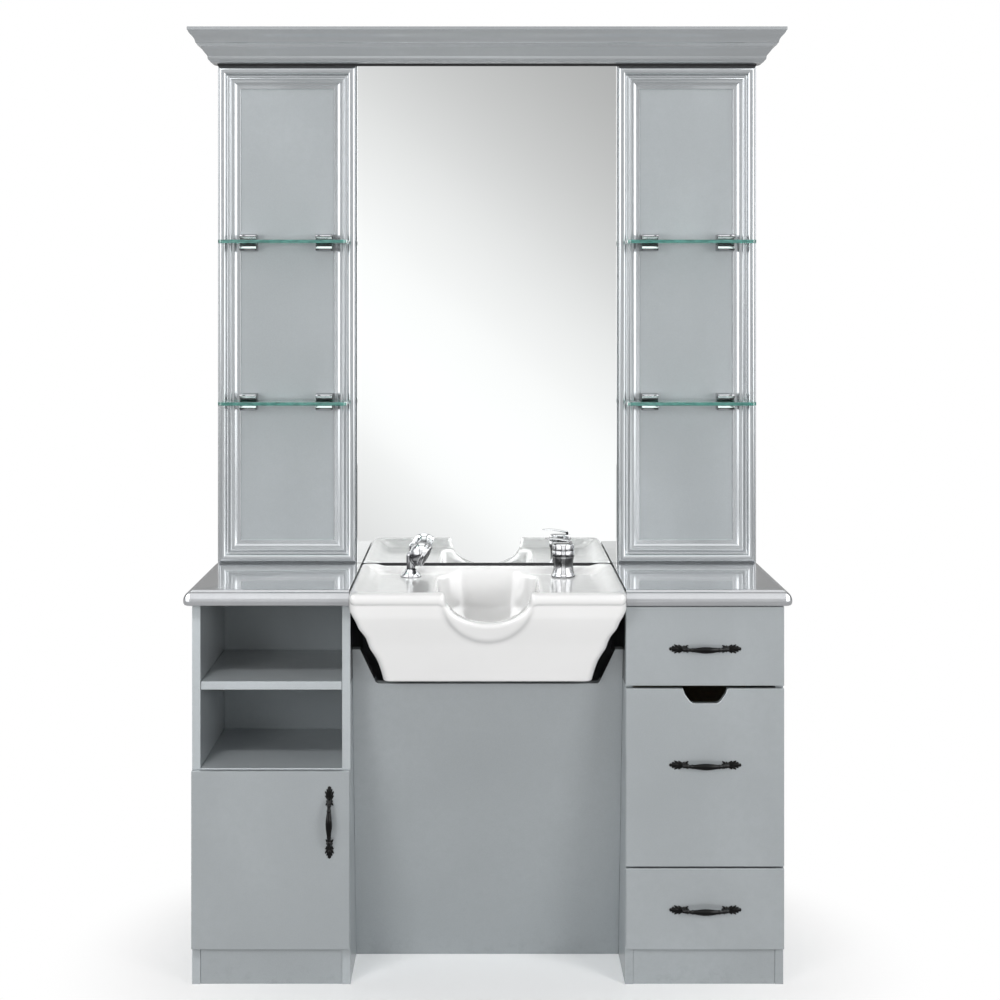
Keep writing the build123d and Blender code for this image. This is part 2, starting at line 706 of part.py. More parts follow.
def channel(x, way_in, web, depth, height, gauge, z):
    """U channel along Y; web starts at x and flanges point to way_in."""
    a, b = sorted((x, x + way_in * web))
    c, d = sorted((x, x + way_in * depth))
    y = (FACE_BACK + 4, FACE_BACK + 4 + RUNNER_L - 8)
    solid = block((a, b), y, (z - height / 2, z + height / 2))
    for s in (-1, 1):
        lo, hi = sorted((z + s * (height / 2 - gauge), z + s * height / 2))
        solid += block((c, d), y, (lo, hi))
    return solid


def runners(heights):
    """Telescopic runners: cabinet, middle and drawer members."""
    fixed = []
    for name, z in heights.items():
        middle = []
        moving = []
        for wall, inward in ((316.0, 1), (624.0, -1)):
            fixed.append(channel(wall, inward, 1.5, 9.5, 45, 1.5, z))
            start = wall + inward * 3.0
            middle.append(channel(start, inward, 1.5, 7.5, 41, 1.5, z))
            outer = wall + inward * RUNNER_T
            moving.append(channel(outer, -inward, 1.5, 6.5, 36, 1.5, z))
        save(f"{name}_runner_middle", *middle)
        save(f"{name}_runner_drawer", *moving)
    save("runner_cabinet_members", *fixed)


# ---- build --------------------------------------------------------------
carcass()
centre_panel()
bay_rail()
bowl_bracket()
bowl()
drain()
mixer()
tap_nuts()
supply_hoses()
spray()
save("left_counter", counter(-1))
save("right_counter", counter(1))
towers()
mirror_set()
glass_shelves()
head()
door()
runner_z = {}
for key, values in DRAWERS.items():
    runner_z[key] = drawer(key, *values)
runners(runner_z)
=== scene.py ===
"""Looks of the salon styling station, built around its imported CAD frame.

Frame in metres: +Z up, -Y towards the user, origin on the floor.
Shapes below are worked out in millimetres and scaled by MM.
"""
import math
import bpy
import numpy as np
import openvdb
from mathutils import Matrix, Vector

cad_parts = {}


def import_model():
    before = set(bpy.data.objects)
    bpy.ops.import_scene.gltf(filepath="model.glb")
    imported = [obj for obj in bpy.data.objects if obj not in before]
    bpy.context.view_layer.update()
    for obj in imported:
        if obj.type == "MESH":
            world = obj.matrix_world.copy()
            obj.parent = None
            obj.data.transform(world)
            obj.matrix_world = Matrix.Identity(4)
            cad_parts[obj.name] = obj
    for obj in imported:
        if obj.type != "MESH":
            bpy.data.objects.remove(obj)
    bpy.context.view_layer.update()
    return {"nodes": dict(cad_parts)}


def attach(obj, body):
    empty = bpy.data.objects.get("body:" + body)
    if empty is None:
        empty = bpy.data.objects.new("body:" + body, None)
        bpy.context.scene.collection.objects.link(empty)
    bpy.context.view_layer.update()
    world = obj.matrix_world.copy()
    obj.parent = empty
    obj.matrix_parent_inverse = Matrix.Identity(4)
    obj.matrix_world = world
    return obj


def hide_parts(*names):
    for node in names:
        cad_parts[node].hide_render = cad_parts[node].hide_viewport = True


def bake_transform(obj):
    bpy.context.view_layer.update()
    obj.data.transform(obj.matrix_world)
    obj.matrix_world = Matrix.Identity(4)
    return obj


MM = 0.001
WALL_Y = 280.0
COUNTER_FRONT = -226.0
COUNTER_TOP = 860.0
CROWN_LOW = 2045.0
CROWN_FACE_Y = 240.0
TOWER_FACE_Y = 262.0
TOWER_INNER = 311.0
HALF_WIDTH = 642.0
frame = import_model()
nodes = frame["nodes"]


# ---- material helpers ---------------------------------------------------
def ramp_node(t, source, stops):
    """Grey curve through (position, value) pairs."""
    node = t.nodes.new("ShaderNodeFloatCurve")
    curve = node.mapping.curves[0]
    node.mapping.clip_max_y = 8.0
    node.mapping.extend = "HORIZONTAL"
    curve.points[0].location = stops[0]
    curve.points[1].location = stops[-1]
    for pos, value in stops[1:-1]:
        curve.points.new(pos, value)
    node.mapping.update()
    t.links.new(source, node.inputs["Value"])
    return node.outputs[0]


def sum_node(t, kind, a, b):
    """Maths node of two sockets or numbers; one-input kinds ignore b."""
    node = t.nodes.new("ShaderNodeMath")
    node.operation = kind
    for i, value in enumerate((a, b)):
        if isinstance(value, (int, float)):
            node.inputs[i].default_value = value
        else:
            t.links.new(value, node.inputs[i])
    return node.outputs[0]


def shader_tree(owner, out_kind):
    """Emptied node tree of a material or world, and its output node."""
    owner.use_nodes = True
    t = owner.node_tree
    t.nodes.clear()
    return t, t.nodes.new(out_kind)


def range_node(t, source, low, high, a=0.0, b=1.0, smooth=False):
    """Clamped map of low..high onto a..b."""
    node = t.nodes.new("ShaderNodeMapRange")
    if smooth:
        node.interpolation_type = "SMOOTHSTEP"
    for socket, value in (("From Min", low), ("From Max", high),
                          ("To Min", a), ("To Max", b)):
        node.inputs[socket].default_value = value
    t.links.new(source, node.inputs["Value"])
    return node.outputs["Result"]


class Shader:
    """A principled material with short ways to add procedural detail."""

    def __init__(self, name, color, rough, metallic=0.0, **extra):
        self.mat = bpy.data.materials.new(name)
        self.mat.use_nodes = True
        self.tree = self.mat.node_tree
        self.bsdf = self.tree.nodes["Principled BSDF"]
        self.coord = self.tree.nodes.new("ShaderNodeTexCoord")
        self.put("Base Color", (*color, 1))
        self.put("Roughness", rough)
        self.put("Metallic", metallic)
        for key, value in extra.items():
            socket = key.replace("_", " ").title().replace("Ior", "IOR")
            self.put(socket, value)
        self.color = color
        self.rough = rough
        self.height = None

    def put(self, socket, value):
        self.bsdf.inputs[socket].default_value = value

    def link(self, a, b):
        self.tree.links.new(a, b)

    def stretch(self, scale):
        node = self.tree.nodes.new("ShaderNodeMapping")
        node.inputs["Scale"].default_value = scale
        self.link(self.coord.outputs["Object"], node.inputs["Vector"])
        return node.outputs["Vector"]

    def noise(self, scale, detail=3.0, rough=0.5, stretch=None, distort=0.0):
        node = self.tree.nodes.new("ShaderNodeTexNoise")
        node.inputs["Scale"].default_value = scale
        node.inputs["Detail"].default_value = detail
        node.inputs["Roughness"].default_value = rough
        node.inputs["Distortion"].default_value = distort
        source = self.coord.outputs["Object"]
        if stretch is not None:
            source = self.stretch(stretch)
        self.link(source, node.inputs["Vector"])
        return node.outputs["Fac"]

    def cells(self, scale):
        node = self.tree.nodes.new("ShaderNodeTexVoronoi")
        node.inputs["Scale"].default_value = scale
        self.link(self.coord.outputs["Object"], node.inputs["Vector"])
        return node.outputs["Color"]

    def wave(self, scale, distort, axis="X"):
        node = self.tree.nodes.new("ShaderNodeTexWave")
        node.bands_direction = axis
        node.inputs["Scale"].default_value = scale
        node.inputs["Distortion"].default_value = distort
        self.link(self.coord.outputs["Object"], node.inputs["Vector"])
        return node.outputs["Fac"]

    def ramp(self, source, low, high, a, b):
        return range_node(self.tree, source, low, high, a, b)

    def math(self, kind, a, b):
        return sum_node(self.tree, kind, a, b)

    def mix(self, factor, a, b):
        node = self.tree.nodes.new("ShaderNodeMix")
        node.data_type = "RGBA"
        for socket, value in ((0, factor), (6, a), (7, b)):
            if isinstance(value, (int, float)):
                node.inputs[socket].default_value = value
            elif isinstance(value, tuple):
                node.inputs[socket].default_value = (*value, 1)
            else:
                self.link(value, node.inputs[socket])
        return node.outputs[2]

    def base(self, source):
        self.link(source, self.bsdf.inputs["Base Color"])

    def roughness(self, source):
        self.link(source, self.bsdf.inputs["Roughness"])

    def bump(self, source, strength, distance, coat=False):
        node = self.tree.nodes.new("ShaderNodeBump")
        node.inputs["Strength"].default_value = strength
        node.inputs["Distance"].default_value = distance
        self.link(source, node.inputs["Height"])
        self.link(node.outputs["Normal"], self.bsdf.inputs["Normal"])
        if coat:
            self.link(node.outputs["Normal"], self.bsdf.inputs["Coat Normal"])

    def height_above(self, low, high):
        """0 at and under low, 1 at and over high, in metres up."""
        split = self.tree.nodes.new("ShaderNodeSeparateXYZ")
        self.link(self.coord.outputs["Object"], split.inputs[0])
        return self.ramp(split.outputs["Z"], low, high, 0.0, 1.0)


def lacquer(name, color, rough, coat, metallic, paint_bay_shade=False):
    """Metallic silver-grey lacquer: flake, faint mottling, scuffed foot, and
    on request painted shade on the bay faces beside the bowl.
    """
    s = Shader(name, color, rough, metallic, coat_weight=coat,
               coat_roughness=0.06)
    dark = tuple(c * 0.93 for c in color)
    light = tuple(min(1.0, c * 1.05) for c in color)
    mottle = s.ramp(s.noise(3.1, 4.0), 0.3, 0.7, 0.0, 1.0)
    tone = s.mix(mottle, dark, light)
    cloud = s.ramp(s.noise(55.0, 3.0, 0.6), 0.35, 0.65, 0.0, 0.5)
    tone = s.mix(cloud, tone, tuple(c * 0.94 for c in color))
    flake = s.ramp(s.noise(520.0, 1.0), 0.35, 0.7, 0.0, 0.16)
    tone = s.mix(flake, tone, tuple(min(1.0, c * 1.35) for c in color))
    foot = s.height_above(0.0, 0.07)
    scuff = s.ramp(s.noise(42.0, 5.0, 0.65), 0.5, 0.75, 0.0, 0.35)
    worn = s.math("MULTIPLY", s.math("SUBTRACT", 1.0, foot), scuff)
    tone = s.mix(worn, tone, tuple(c * 0.6 for c in color))
    if paint_bay_shade:
        # painted shade: these inner bay faces are coloured near-black to stand
        # in for the deep shade beside the bowl
        tone = s.mix(painted_bay_shade_mask(s), tone, (0.006, 0.006, 0.007))
    s.base(tone)
    smear = s.ramp(s.noise(9.0, 4.0, 0.6, stretch=(1.0, 1.0, 0.35)),
                   0.3, 0.7, rough - 0.03, rough + 0.05)
    s.roughness(smear)
    s.bump(s.noise(95.0, 1.0), 0.05, 0.0004)
    return s.mat


def painted_bay_shade_mask(s):
    """1 on the faces inside the bay beside the bowl, where shade is painted
    near-black.
    """
    split = s.tree.nodes.new("ShaderNodeSeparateXYZ")
    s.link(s.coord.outputs["Object"], split.inputs[0])
    across = s.math("ABSOLUTE", split.outputs["X"], 0.0)
    inside = s.math("LESS_THAN", across, 0.2985)
    high = s.math("GREATER_THAN", split.outputs["Z"], 0.652)
    geo = s.tree.nodes.new("ShaderNodeNewGeometry")
    facing = s.tree.nodes.new("ShaderNodeSeparateXYZ")
    s.link(geo.outputs["True Normal"], facing.inputs[0])
    turned = s.math("ABSOLUTE", facing.outputs["X"], 0.0)
    turned = s.math("GREATER_THAN", turned, 0.7)
    return s.math("MULTIPLY", s.math("MULTIPLY", inside, high), turned)


def ceramic():
    """White glaze with a very slight waviness and water marks."""
    s = Shader("glaze", (0.75, 0.75, 0.745), 0.10, coat_weight=0.3,
               coat_roughness=0.03)
    tone = s.mix(s.ramp(s.noise(5.0, 3.0), 0.35, 0.65, 0.0, 1.0),
                 (0.738, 0.736, 0.733), (0.764, 0.762, 0.76))
    s.base(tone)
    s.roughness(s.ramp(s.noise(28.0, 6.0, 0.65), 0.35, 0.75, 0.07, 0.20))
    s.bump(s.noise(38.0, 2.0), 0.05, 0.001)
    return s.mat


def chrome(name, rough=0.05, tint=(0.92, 0.93, 0.95)):
    """Plated metal with faint water spots and polishing lines.

    The base colour is a painted reflection of the direction reflected: dark
    at the horizon and below it, as in a studio hung with black flags.
    """
    s = Shader(name, tint, rough, 1.0)
    spots = s.ramp(s.noise(210.0, 5.0, 0.6), 0.55, 0.75, 0.0, 1.0)
    tone = s.mix(spots, tint, tuple(c * 0.86 for c in tint))
    split = s.tree.nodes.new("ShaderNodeSeparateXYZ")
    s.link(s.coord.outputs["Reflection"], split.inputs[0])
    level = s.ramp(split.outputs["Z"], -1.0, 1.0, 0.0, 1.0)
    # painted reflection: base colour darkened by where the reflected ray
    # points, downwards, upwards, sideways and backwards
    painted_reflection = ramp_node(s.tree, level, [(0.0, 0.75), (0.16, 0.75),
                                      (0.24, 0.30), (0.36, 0.16),
                                      (0.44, 0.30), (0.50, 0.95),
                                      (0.66, 0.98), (0.74, 0.45),
                                      (0.84, 0.50), (0.92, 0.80),
                                      (1.0, 0.75)])
    across = s.math("ABSOLUTE", split.outputs["X"], 0.0)
    side = ramp_node(s.tree, across, [(0.0, 1.0), (0.26, 1.0),
                                      (0.33, 0.45), (0.40, 0.30),
                                      (0.48, 0.32), (1.0, 0.27)])
    rear = s.ramp(split.outputs["Y"], 0.35, 0.90, 1.0, 0.18)
    painted_reflection = s.math("MULTIPLY", s.math("MULTIPLY", painted_reflection, side), rear)
    s.base(s.mix(painted_reflection, (0.01, 0.01, 0.012), tone))
    s.roughness(s.ramp(s.noise(120.0, 4.0), 0.3, 0.8, rough * 0.6,
                       rough * 2.2 + 0.03))
    s.bump(s.noise(900.0, 1.0, stretch=(1.0, 1.0, 0.2)), 0.03, 0.0001)
    return s.mat


def iron():
    """Black casting with bronze rubbed through on the raised edges."""
    s = Shader("handle_iron", (0.002, 0.002, 0.002), 0.18, 0.0,
               specular_ior_level=0.13)
    geo = s.tree.nodes.new("ShaderNodeNewGeometry")
    edge = s.ramp(geo.outputs["Pointiness"], 0.53, 0.60, 0.0, 1.0)
    rub = s.ramp(s.noise(170.0, 4.0, 0.6), 0.42, 0.62, 0.0, 1.0)
    worn = s.math("MULTIPLY", edge, rub)
    s.base(s.mix(worn, (0.003, 0.003, 0.003), (0.30, 0.20, 0.10)))
    s.link(worn, s.bsdf.inputs["Metallic"])
    s.roughness(s.ramp(s.noise(320.0, 3.0), 0.3, 0.7, 0.12, 0.26))
    s.bump(s.noise(500.0, 2.0), 0.25, 0.0002)
    return s.mat


def board(name, color):
    """Raw fibre board and timber: long grain and fine specks."""
    s = Shader(name, color, 0.72)
    grain = s.noise(6.0, 8.0, 0.65, stretch=(22.0, 1.0, 22.0), distort=0.6)
    tone = s.mix(s.ramp(grain, 0.3, 0.7, 0.0, 1.0),
                 tuple(c * 0.72 for c in color), color)
    s.base(s.mix(s.ramp(s.cells(700.0), 0.0, 1.0, 0.0, 0.25), tone,
                 tuple(min(1.0, c * 1.3) for c in color)))
    s.bump(grain, 0.4, 0.0005)
    s.roughness(s.ramp(grain, 0.3, 0.7, 0.60, 0.82))
    return s.mat


def plated(name, color, rough):
    """Zinc plated or brushed steel with directional scratches."""
    s = Shader(name, color, rough, 1.0)
    lines = s.noise(40.0, 6.0, 0.7, stretch=(1.0, 0.05, 1.0))
    s.base(s.mix(s.ramp(lines, 0.3, 0.7, 0.0, 1.0),
                 tuple(c * 0.8 for c in color), color))
    s.roughness(s.ramp(lines, 0.3, 0.7, rough - 0.08, rough + 0.12))
    s.bump(lines, 0.15, 0.0002)
    return s.mat


def powder_coat():
    """Black powder coat with orange peel."""
    s = Shader("black_steel", (0.015, 0.015, 0.016), 0.5)
    s.base(s.mix(s.noise(30.0, 4.0), (0.010, 0.010, 0.011),
                 (0.028, 0.028, 0.030)))
    s.roughness(s.ramp(s.noise(80.0, 3.0), 0.3, 0.7, 0.42, 0.6))
    s.bump(s.noise(420.0, 2.0), 0.4, 0.0004)
    return s.mat


def rubber():
    """Dark nozzle plate with a chalky bloom of lime."""
    s = Shader("nozzle", (0.03, 0.03, 0.032), 0.55)
    bloom = s.ramp(s.noise(260.0, 5.0, 0.7), 0.5, 0.8, 0.0, 0.5)
    s.base(s.mix(bloom, (0.022, 0.022, 0.024), (0.16, 0.16, 0.16)))
    s.roughness(s.ramp(s.noise(90.0), 0.3, 0.7, 0.45, 0.7))
    s.bump(s.noise(600.0, 2.0), 0.3, 0.0002)
    return s.mat


def silver():
    """Mirror: clean silver, faintly green, with a trace of haze."""
    s = Shader("mirror", (0.93, 0.945, 0.94), 0.0, 1.0)
    haze = s.ramp(s.noise(4.0, 5.0, 0.7), 0.55, 0.85, 0.0, 0.012)
    s.roughness(haze)
    s.base(s.mix(s.ramp(s.noise(2.0), 0.3, 0.7, 0.0, 1.0),
                 (0.925, 0.94, 0.935), (0.94, 0.955, 0.95)))
    return s.mat


def thin_glass():
    """Flat faces of the shelf glass: mostly clear, mirror-like at a slant."""
    mat = bpy.data.materials.new("clear_glass")
    t, out = shader_tree(mat, "ShaderNodeOutputMaterial")
    mix = t.nodes.new("ShaderNodeMixShader")
    clear = t.nodes.new("ShaderNodeBsdfTransparent")
    clear.inputs["Color"].default_value = (0.90, 0.965, 0.945, 1)
    gloss = t.nodes.new("ShaderNodeBsdfGlossy")
    gloss.inputs["Color"].default_value = (0.95, 1.0, 0.985, 1)
    smear = t.nodes.new("ShaderNodeTexNoise")
    smear.inputs["Scale"].default_value = 24.0
    smear.inputs["Detail"].default_value = 5.0
    fres = t.nodes.new("ShaderNodeFresnel")
    fres.inputs["IOR"].default_value = 1.52
    spread = range_node(t, smear.outputs["Fac"], 0.45, 0.8, 0.01, 0.12)
    t.links.new(spread, gloss.inputs["Roughness"])
    t.links.new(fres.outputs["Fac"], mix.inputs[0])
    t.links.new(clear.outputs[0], mix.inputs[1])
    t.links.new(gloss.outputs[0], mix.inputs[2])
    t.links.new(mix.outputs[0], out.inputs["Surface"])
    return mat


def glass_edge():
    """Polished green edge of the shelf glass."""
    s = Shader("glass_edge", (0.03, 0.22, 0.18), 0.08, 0.0, coat_weight=1.0,
               transmission_weight=0.35)
    band = s.ramp(s.noise(60.0, 4.0, 0.6, stretch=(1.0, 1.0, 6.0)),
                  0.35, 0.7, 0.0, 1.0)
    s.base(s.mix(band, (0.018, 0.16, 0.13), (0.10, 0.38, 0.33)))
    s.bump(s.noise(300.0), 0.1, 0.0002)
    return s.mat


def weave():
    """Metal hose: painted sheen on the ridges and painted shade between them.
    """
    s = Shader("hose_metal", (0.62, 0.63, 0.65), 0.22, 1.0)
    rings = s.wave(140.0, 1.5, "Z")
    # painted sheen and shade: base colour lighter on the ridges, darker
    # between them
    s.base(s.mix(rings, (0.34, 0.35, 0.36), (0.72, 0.73, 0.75)))
    s.roughness(s.ramp(rings, 0.0, 1.0, 0.34, 0.16))
    s.bump(rings, 0.4, 0.0004)
    return s.mat


MATS = {
    # the main lacquer carries the painted bay shade (last argument)
    "lacquer": lacquer("lacquer", (0.375, 0.402, 0.417), 0.32, 0.35, 0.5,
                       True),
    # painted shade: a darker copy of the lacquer for the back boards, so the
    # compartment backs read as in shadow
    "back_lacquer_painted_shade": lacquer("back_lacquer_painted_shade", (0.245, 0.27, 0.285), 0.42,
                            0.2, 0.4),
    "gloss_lacquer": lacquer("gloss_lacquer", (0.41, 0.43, 0.445), 0.18,
                             0.9, 0.7),
    "counter_lacquer": lacquer("counter_lacquer", (0.41, 0.42, 0.435),
                               0.16, 0.9, 0.6),
    "glaze": ceramic(),
    "chrome": chrome("chrome"),
    "handle_iron": iron(),
    "core_board": board("core_board", (0.44, 0.36, 0.26)),
    # painted shade: near-black board for the crown core, mirror backing and
    # bay rear rail, so the gaps at them read as shadow lines
    "dark_board": board("dark_board", (0.012, 0.012, 0.013)),
    "steel": plated("steel", (0.58, 0.59, 0.60), 0.32),
    "black_steel": powder_coat(),
    "nozzle": rubber(),
    "mirror": silver(),
    "clear_glass": thin_glass(),
    "glass_edge": glass_edge(),
    "hose_metal": weave(),
}


# ---- mesh helpers -------------------------------------------------------
def piece(name, verts, faces, slot, body, replaced=(), angle=32.0):
    """Mesh object in metres from points in millimetres, riding a body."""
    mesh = bpy.data.meshes.new(name)
    mesh.from_pydata([tuple(c * MM for c in v) for v in verts], [], faces)
    return finish_piece(name, mesh, slot, body, replaced, angle)


def finish_piece(name, mesh, slot, body, replaced=(), angle=32.0):
    mesh.validate()
    mesh.update()
    mesh.polygons.foreach_set("use_smooth", [True] * len(mesh.polygons))
    mesh.set_sharp_from_angle(angle=math.radians(angle))
    mesh.materials.append(MATS[slot])
    obj = bpy.data.objects.new(name, mesh)
    bpy.context.scene.collection.objects.link(obj)
    if body:
        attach(obj, body)
    if replaced:
        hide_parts(*replaced)
    return obj


def stack(rings, closed=True):
    """Verts and faces joining equal closed loops in order, capped."""
    verts = [p for ring in rings for p in ring]
    n = len(rings[0])
    faces = []
    for i in range(len(rings) - 1):
        for j in range(n):
            k = (j + 1) % n
            faces.append((i * n + j, i * n + k, (i + 1) * n + k,
                          (i + 1) * n + j))
    if closed:
        faces.append(tuple(range(n - 1, -1, -1)))
        last = (len(rings) - 1) * n
        faces.append(tuple(range(last, last + n)))
    return verts, faces


def join(verts, faces, part):
    """Add a part's points and faces to the lists of a larger mesh."""
    first = len(verts)
    verts += part[0]
    faces += [tuple(first + i for i in f) for f in part[1]]


def box_faces():
    """The six sides of a box from its low ring and its high ring."""
    return [(0, 1, 2, 3), (7, 6, 5, 4), (0, 4, 5, 1), (1, 5, 6, 2),
            (2, 6, 7, 3), (3, 7, 4, 0)]


def angles(count):
    """Equal steps round a full turn."""
    return [2 * math.pi * k / count for k in range(count)]


def lathe(profile, centre, steps=72):
    """Stack of circles from (radius, height) pairs about an upright axis."""
    cx, cy, cz = centre
    return stack([[(cx + r * math.cos(a), cy + r * math.sin(a), cz + z)
                   for a in angles(steps)] for r, z in profile])


def arc(points, steps=6):
    """Rounded path through the points: a centripetal curve."""
    out = []
    pts = [Vector(p) for p in points]
    for i in range(len(pts) - 1):
        a = pts[max(i - 1, 0)]
        b, c = pts[i], pts[i + 1]
        d = pts[min(i + 2, len(pts) - 1)]
        for s in range(steps):
            t = s / steps
            out.append(0.5 * (2 * b + (c - a) * t
                              + (2 * a - 5 * b + 4 * c - d) * t * t
                              + (3 * b - a - 3 * c + d) * t ** 3))
    out.append(pts[-1])
    return out


def smin(a, b, k):
    h = np.clip(0.5 + 0.5 * (b - a) / k, 0.0, 1.0)
    return b * (1 - h) + a * h - k * h * (1 - h)


def smax(a, b, k):
    return -smin(-a, -b, k)


def grid(low, high, step):
    """Coordinate arrays of a box of points."""
    axes = [np.arange(lo, hi + step, step, dtype=np.float32)
            for lo, hi in zip(low, high)]
    return np.meshgrid(*axes, indexing="ij")


def skin(field, low, step):
    """Closed quad mesh at the zero level of a distance field."""
    volume = openvdb.FloatGrid(background=10.0)
    volume.copyFromArray(np.clip(field, -10.0, 10.0).astype(np.float32))
    points, quads = volume.convertToQuads(isovalue=0.0)
    points = (points * step + np.array(low)) * MM
    mesh = bpy.data.meshes.new("skin")
    mesh.from_pydata(points.tolist(), [], quads[:, ::-1].tolist())
    return mesh


def table(pairs, z, blur=5.0):
    """Smoothed lookup of a value against height."""
    zs = np.arange(600.0, 920.0, 1.0)
    values = np.interp(zs, [p[0] for p in pairs], [p[1] for p in pairs])
    k = np.exp(-0.5 * (np.arange(-20, 21) / blur) ** 2)
    padded = np.pad(values, 20, mode="edge")
    values = np.convolve(padded, k / k.sum(), mode="valid")
    return np.interp(z, zs, values).astype(np.float32)


def rounded_plan(x, y, half, front, rear, radius):
    """Distance to a rounded rectangle whose sides vary with height."""
    mid, deep = (front + rear) / 2, (rear - front) / 2
    qx = np.abs(x) - half + radius
    qy = np.abs(y - mid) - deep + radius
    out = np.hypot(np.maximum(qx, 0), np.maximum(qy, 0))
    return out + np.minimum(np.maximum(qx, qy), 0) - radius


# ---- wash bowl ----------------------------------------------------------
def bowl_field(x, y, z):
    ax = np.abs(x)
    half = table([(655, 227), (666, 229.5), (679, 232.5), (692, 236),
                  (705, 240.5), (718, 247.5), (731, 255.5), (743, 259),
                  (750, 261), (757, 263.5), (763, 267), (770, 272),
                  (777, 277), (784, 279.8), (792, 282.5), (799, 285.3),
                  (805, 288.8), (812, 292), (818, 295.3), (826, 296),
                  (862, 296)], z, 2.5)
    front = table([(655, -175), (702, -200), (745, -223), (782, -246),
                   (806, -260), (830, -267), (862, -270)], z)
    rear = table([(655, 190), (702, 203), (745, 213), (782, 221),
                  (812, 228), (862, 231.5)], z)
    rim = np.clip((z - 815.0) / 12.0, 0, 1)
    half = half + 1.8 * rim * np.clip((y + 262.0) / 40.0, 0, 1)
    shell = rounded_plan(x, y, half, front, rear, 16.0) * 0.93
    back = np.clip((y - 120.0) / 70.0, 0, 1)
    corner = np.clip((ax - 238.0) / 30.0, 0, 1)
    corner = corner * corner * (3 - 2 * corner)
    top = 861.5 - 5.0 * back * back * (3 - 2 * back) * (1 - corner)
    body = smax(shell, z - top, 9.0)
    body = smax(body, 655.2 - z, 4.0)
    reach = np.maximum(ax - 282.4, 0)
    roll = np.sqrt(reach ** 2 + (y + 266.3) ** 2 + (z - 848.3) ** 2) - 13.2
    body = smin(body, roll, 3.5)
    low = np.minimum(z - 853.0, 0)
    lip = (np.hypot(ax / 96.0, low / 101.0) - 1) * 94.0
    proud = np.maximum(front - 11.0, -279.4)
    lip = smax(lip, np.maximum(proud - y, y + 150.0), 10.0)
    body = smin(body, lip, 14.0)
    tub = rounded_plan(x, y, table([(700, 84), (760, 108), (862, 118)], z),
                       table([(700, -150), (760, -205), (862, -232)], z),
                       table([(700, 150), (760, 185), (862, 203)], z), 70.0)
    tub = smax(tub, 700.0 - z, 38.0)
    under = np.maximum(np.maximum(shell + 13.0, z - 826.0), 13.0 - tub)
    body = smax(body, -tub, 20.0)
    rise = np.clip(z - 840.0, -5.0, 30.0)
    wide = rounded_plan(ax - 170.0, y, 84.0 + rise * 1.25,
                        -238.0 - rise * 0.5, 200.0 + rise * 0.5, 26.0)
    tray = smax(wide * 0.75, 840.0 - z, 9.0)
    body = smax(body, -tray, 9.0)
    void = (np.hypot(ax / 90.0, low / 59.0) - 1) * 74.0
    void = np.maximum(void, y + 150.0)
    body = smax(body, -void, 16.0)
    return smax(body, -under, 2.0)


def bowl():
    step = 2.6
    low = (-306.0, -290.0, 645.0)
    x, y, z = grid(low, (306.0, 242.0, 872.0), step)
    mesh = skin(bowl_field(x, y, z), low, step)
    finish_piece("wash_bowl", mesh, "glaze", "station", ["bowl"], 60.0)


DRAIN = (0.0, 30.0, 700.0)


def strainer():
    """Drain: dished rim with a star of raised bars over the hole."""
    x0, y0, z0 = DRAIN
    prof = [(0, 0.6), (20, 0.6), (23, 1.2), (25, 3.0), (30, 3.0),
            (33, 2.2), (34, 0.2), (34, -0.5), (23.4, -0.6), (23.4, -30),
            (0, -30)]
    verts, faces = lathe(prof, DRAIN)
    for k in range(8):
        a = math.pi * k / 4
        box_v = []
        for dz in (0.4, 2.4):
            for r, w in ((6, -1.6), (21, -1.6), (21, 1.6), (6, 1.6)):
                box_v.append((x0 + r * math.cos(a) - w * math.sin(a),
                              y0 + r * math.sin(a) + w * math.cos(a),
                              z0 + dz))
        join(verts, faces, (box_v, box_faces()))
    piece("drain_grid", verts, faces, "chrome", "station",
          ["drain_strainer"])


# ---- tap and spray ------------------------------------------------------
MIXER = (178.0, 150.0, 840.0)
SPRAY = (-178.0, 150.0, 840.0)


def mixer():
    bell = arc([(27.6, 0.8), (28.2, 2.6), (27.6, 5.2), (26.0, 8.2),
                (24.6, 13), (23.5, 20), (23.1, 28), (23.3, 36),
                (24.2, 43), (24.9, 46)], 5)
    rim = [(25.8, 47.2), (26.2, 48.4), (26.2, 60.8), (25.6, 61.9)]
    prof = [(0, 0), (26.8, 0)] + [(v.x, v.y) for v in bell] + rim
    prof.append((0, 61.9))
    verts, faces = lathe(prof, MIXER)
    piece("mixer_bell", verts, faces, "chrome", "station", ["mixer_body"])
    cap = [(0, 62.4), (25.4, 62.4), (26.0, 63.1), (26.0, 73.6),
           (25.6, 75.4), (24.4, 77.2), (22.0, 78.4), (16.0, 79.0),
           (0, 79.0)]
    verts, faces = lathe(cap, MIXER)
    for side in (-1, 1):
        join(verts, faces, lug(side))
    piece("mixer_cap_shell", verts, faces, "chrome", "mixer_turning_cap",
          ["mixer_cap"])
    lever()


def lug(side):
    x, y, z = MIXER
    rings = []
    for dy in (8.0, 8.4, 10.6, 11.0):
        inset = 0.4 if dy in (8.0, 11.0) else 0.0
        ring = []
        for k in range(17):
            a = math.pi * k / 16
            ring.append((x + 17 + (2.7 - inset) * math.cos(a),
                         y + side * dy,
                         z + 82.5 + (3.0 - inset) * math.sin(a)))
        ring.append((x + 14.3 + inset, y + side * dy, z + 78.6))
        ring.append((x + 19.7 - inset, y + side * dy, z + 78.6))
        rings.append(ring if side > 0 else ring[::-1])
    return stack(rings)


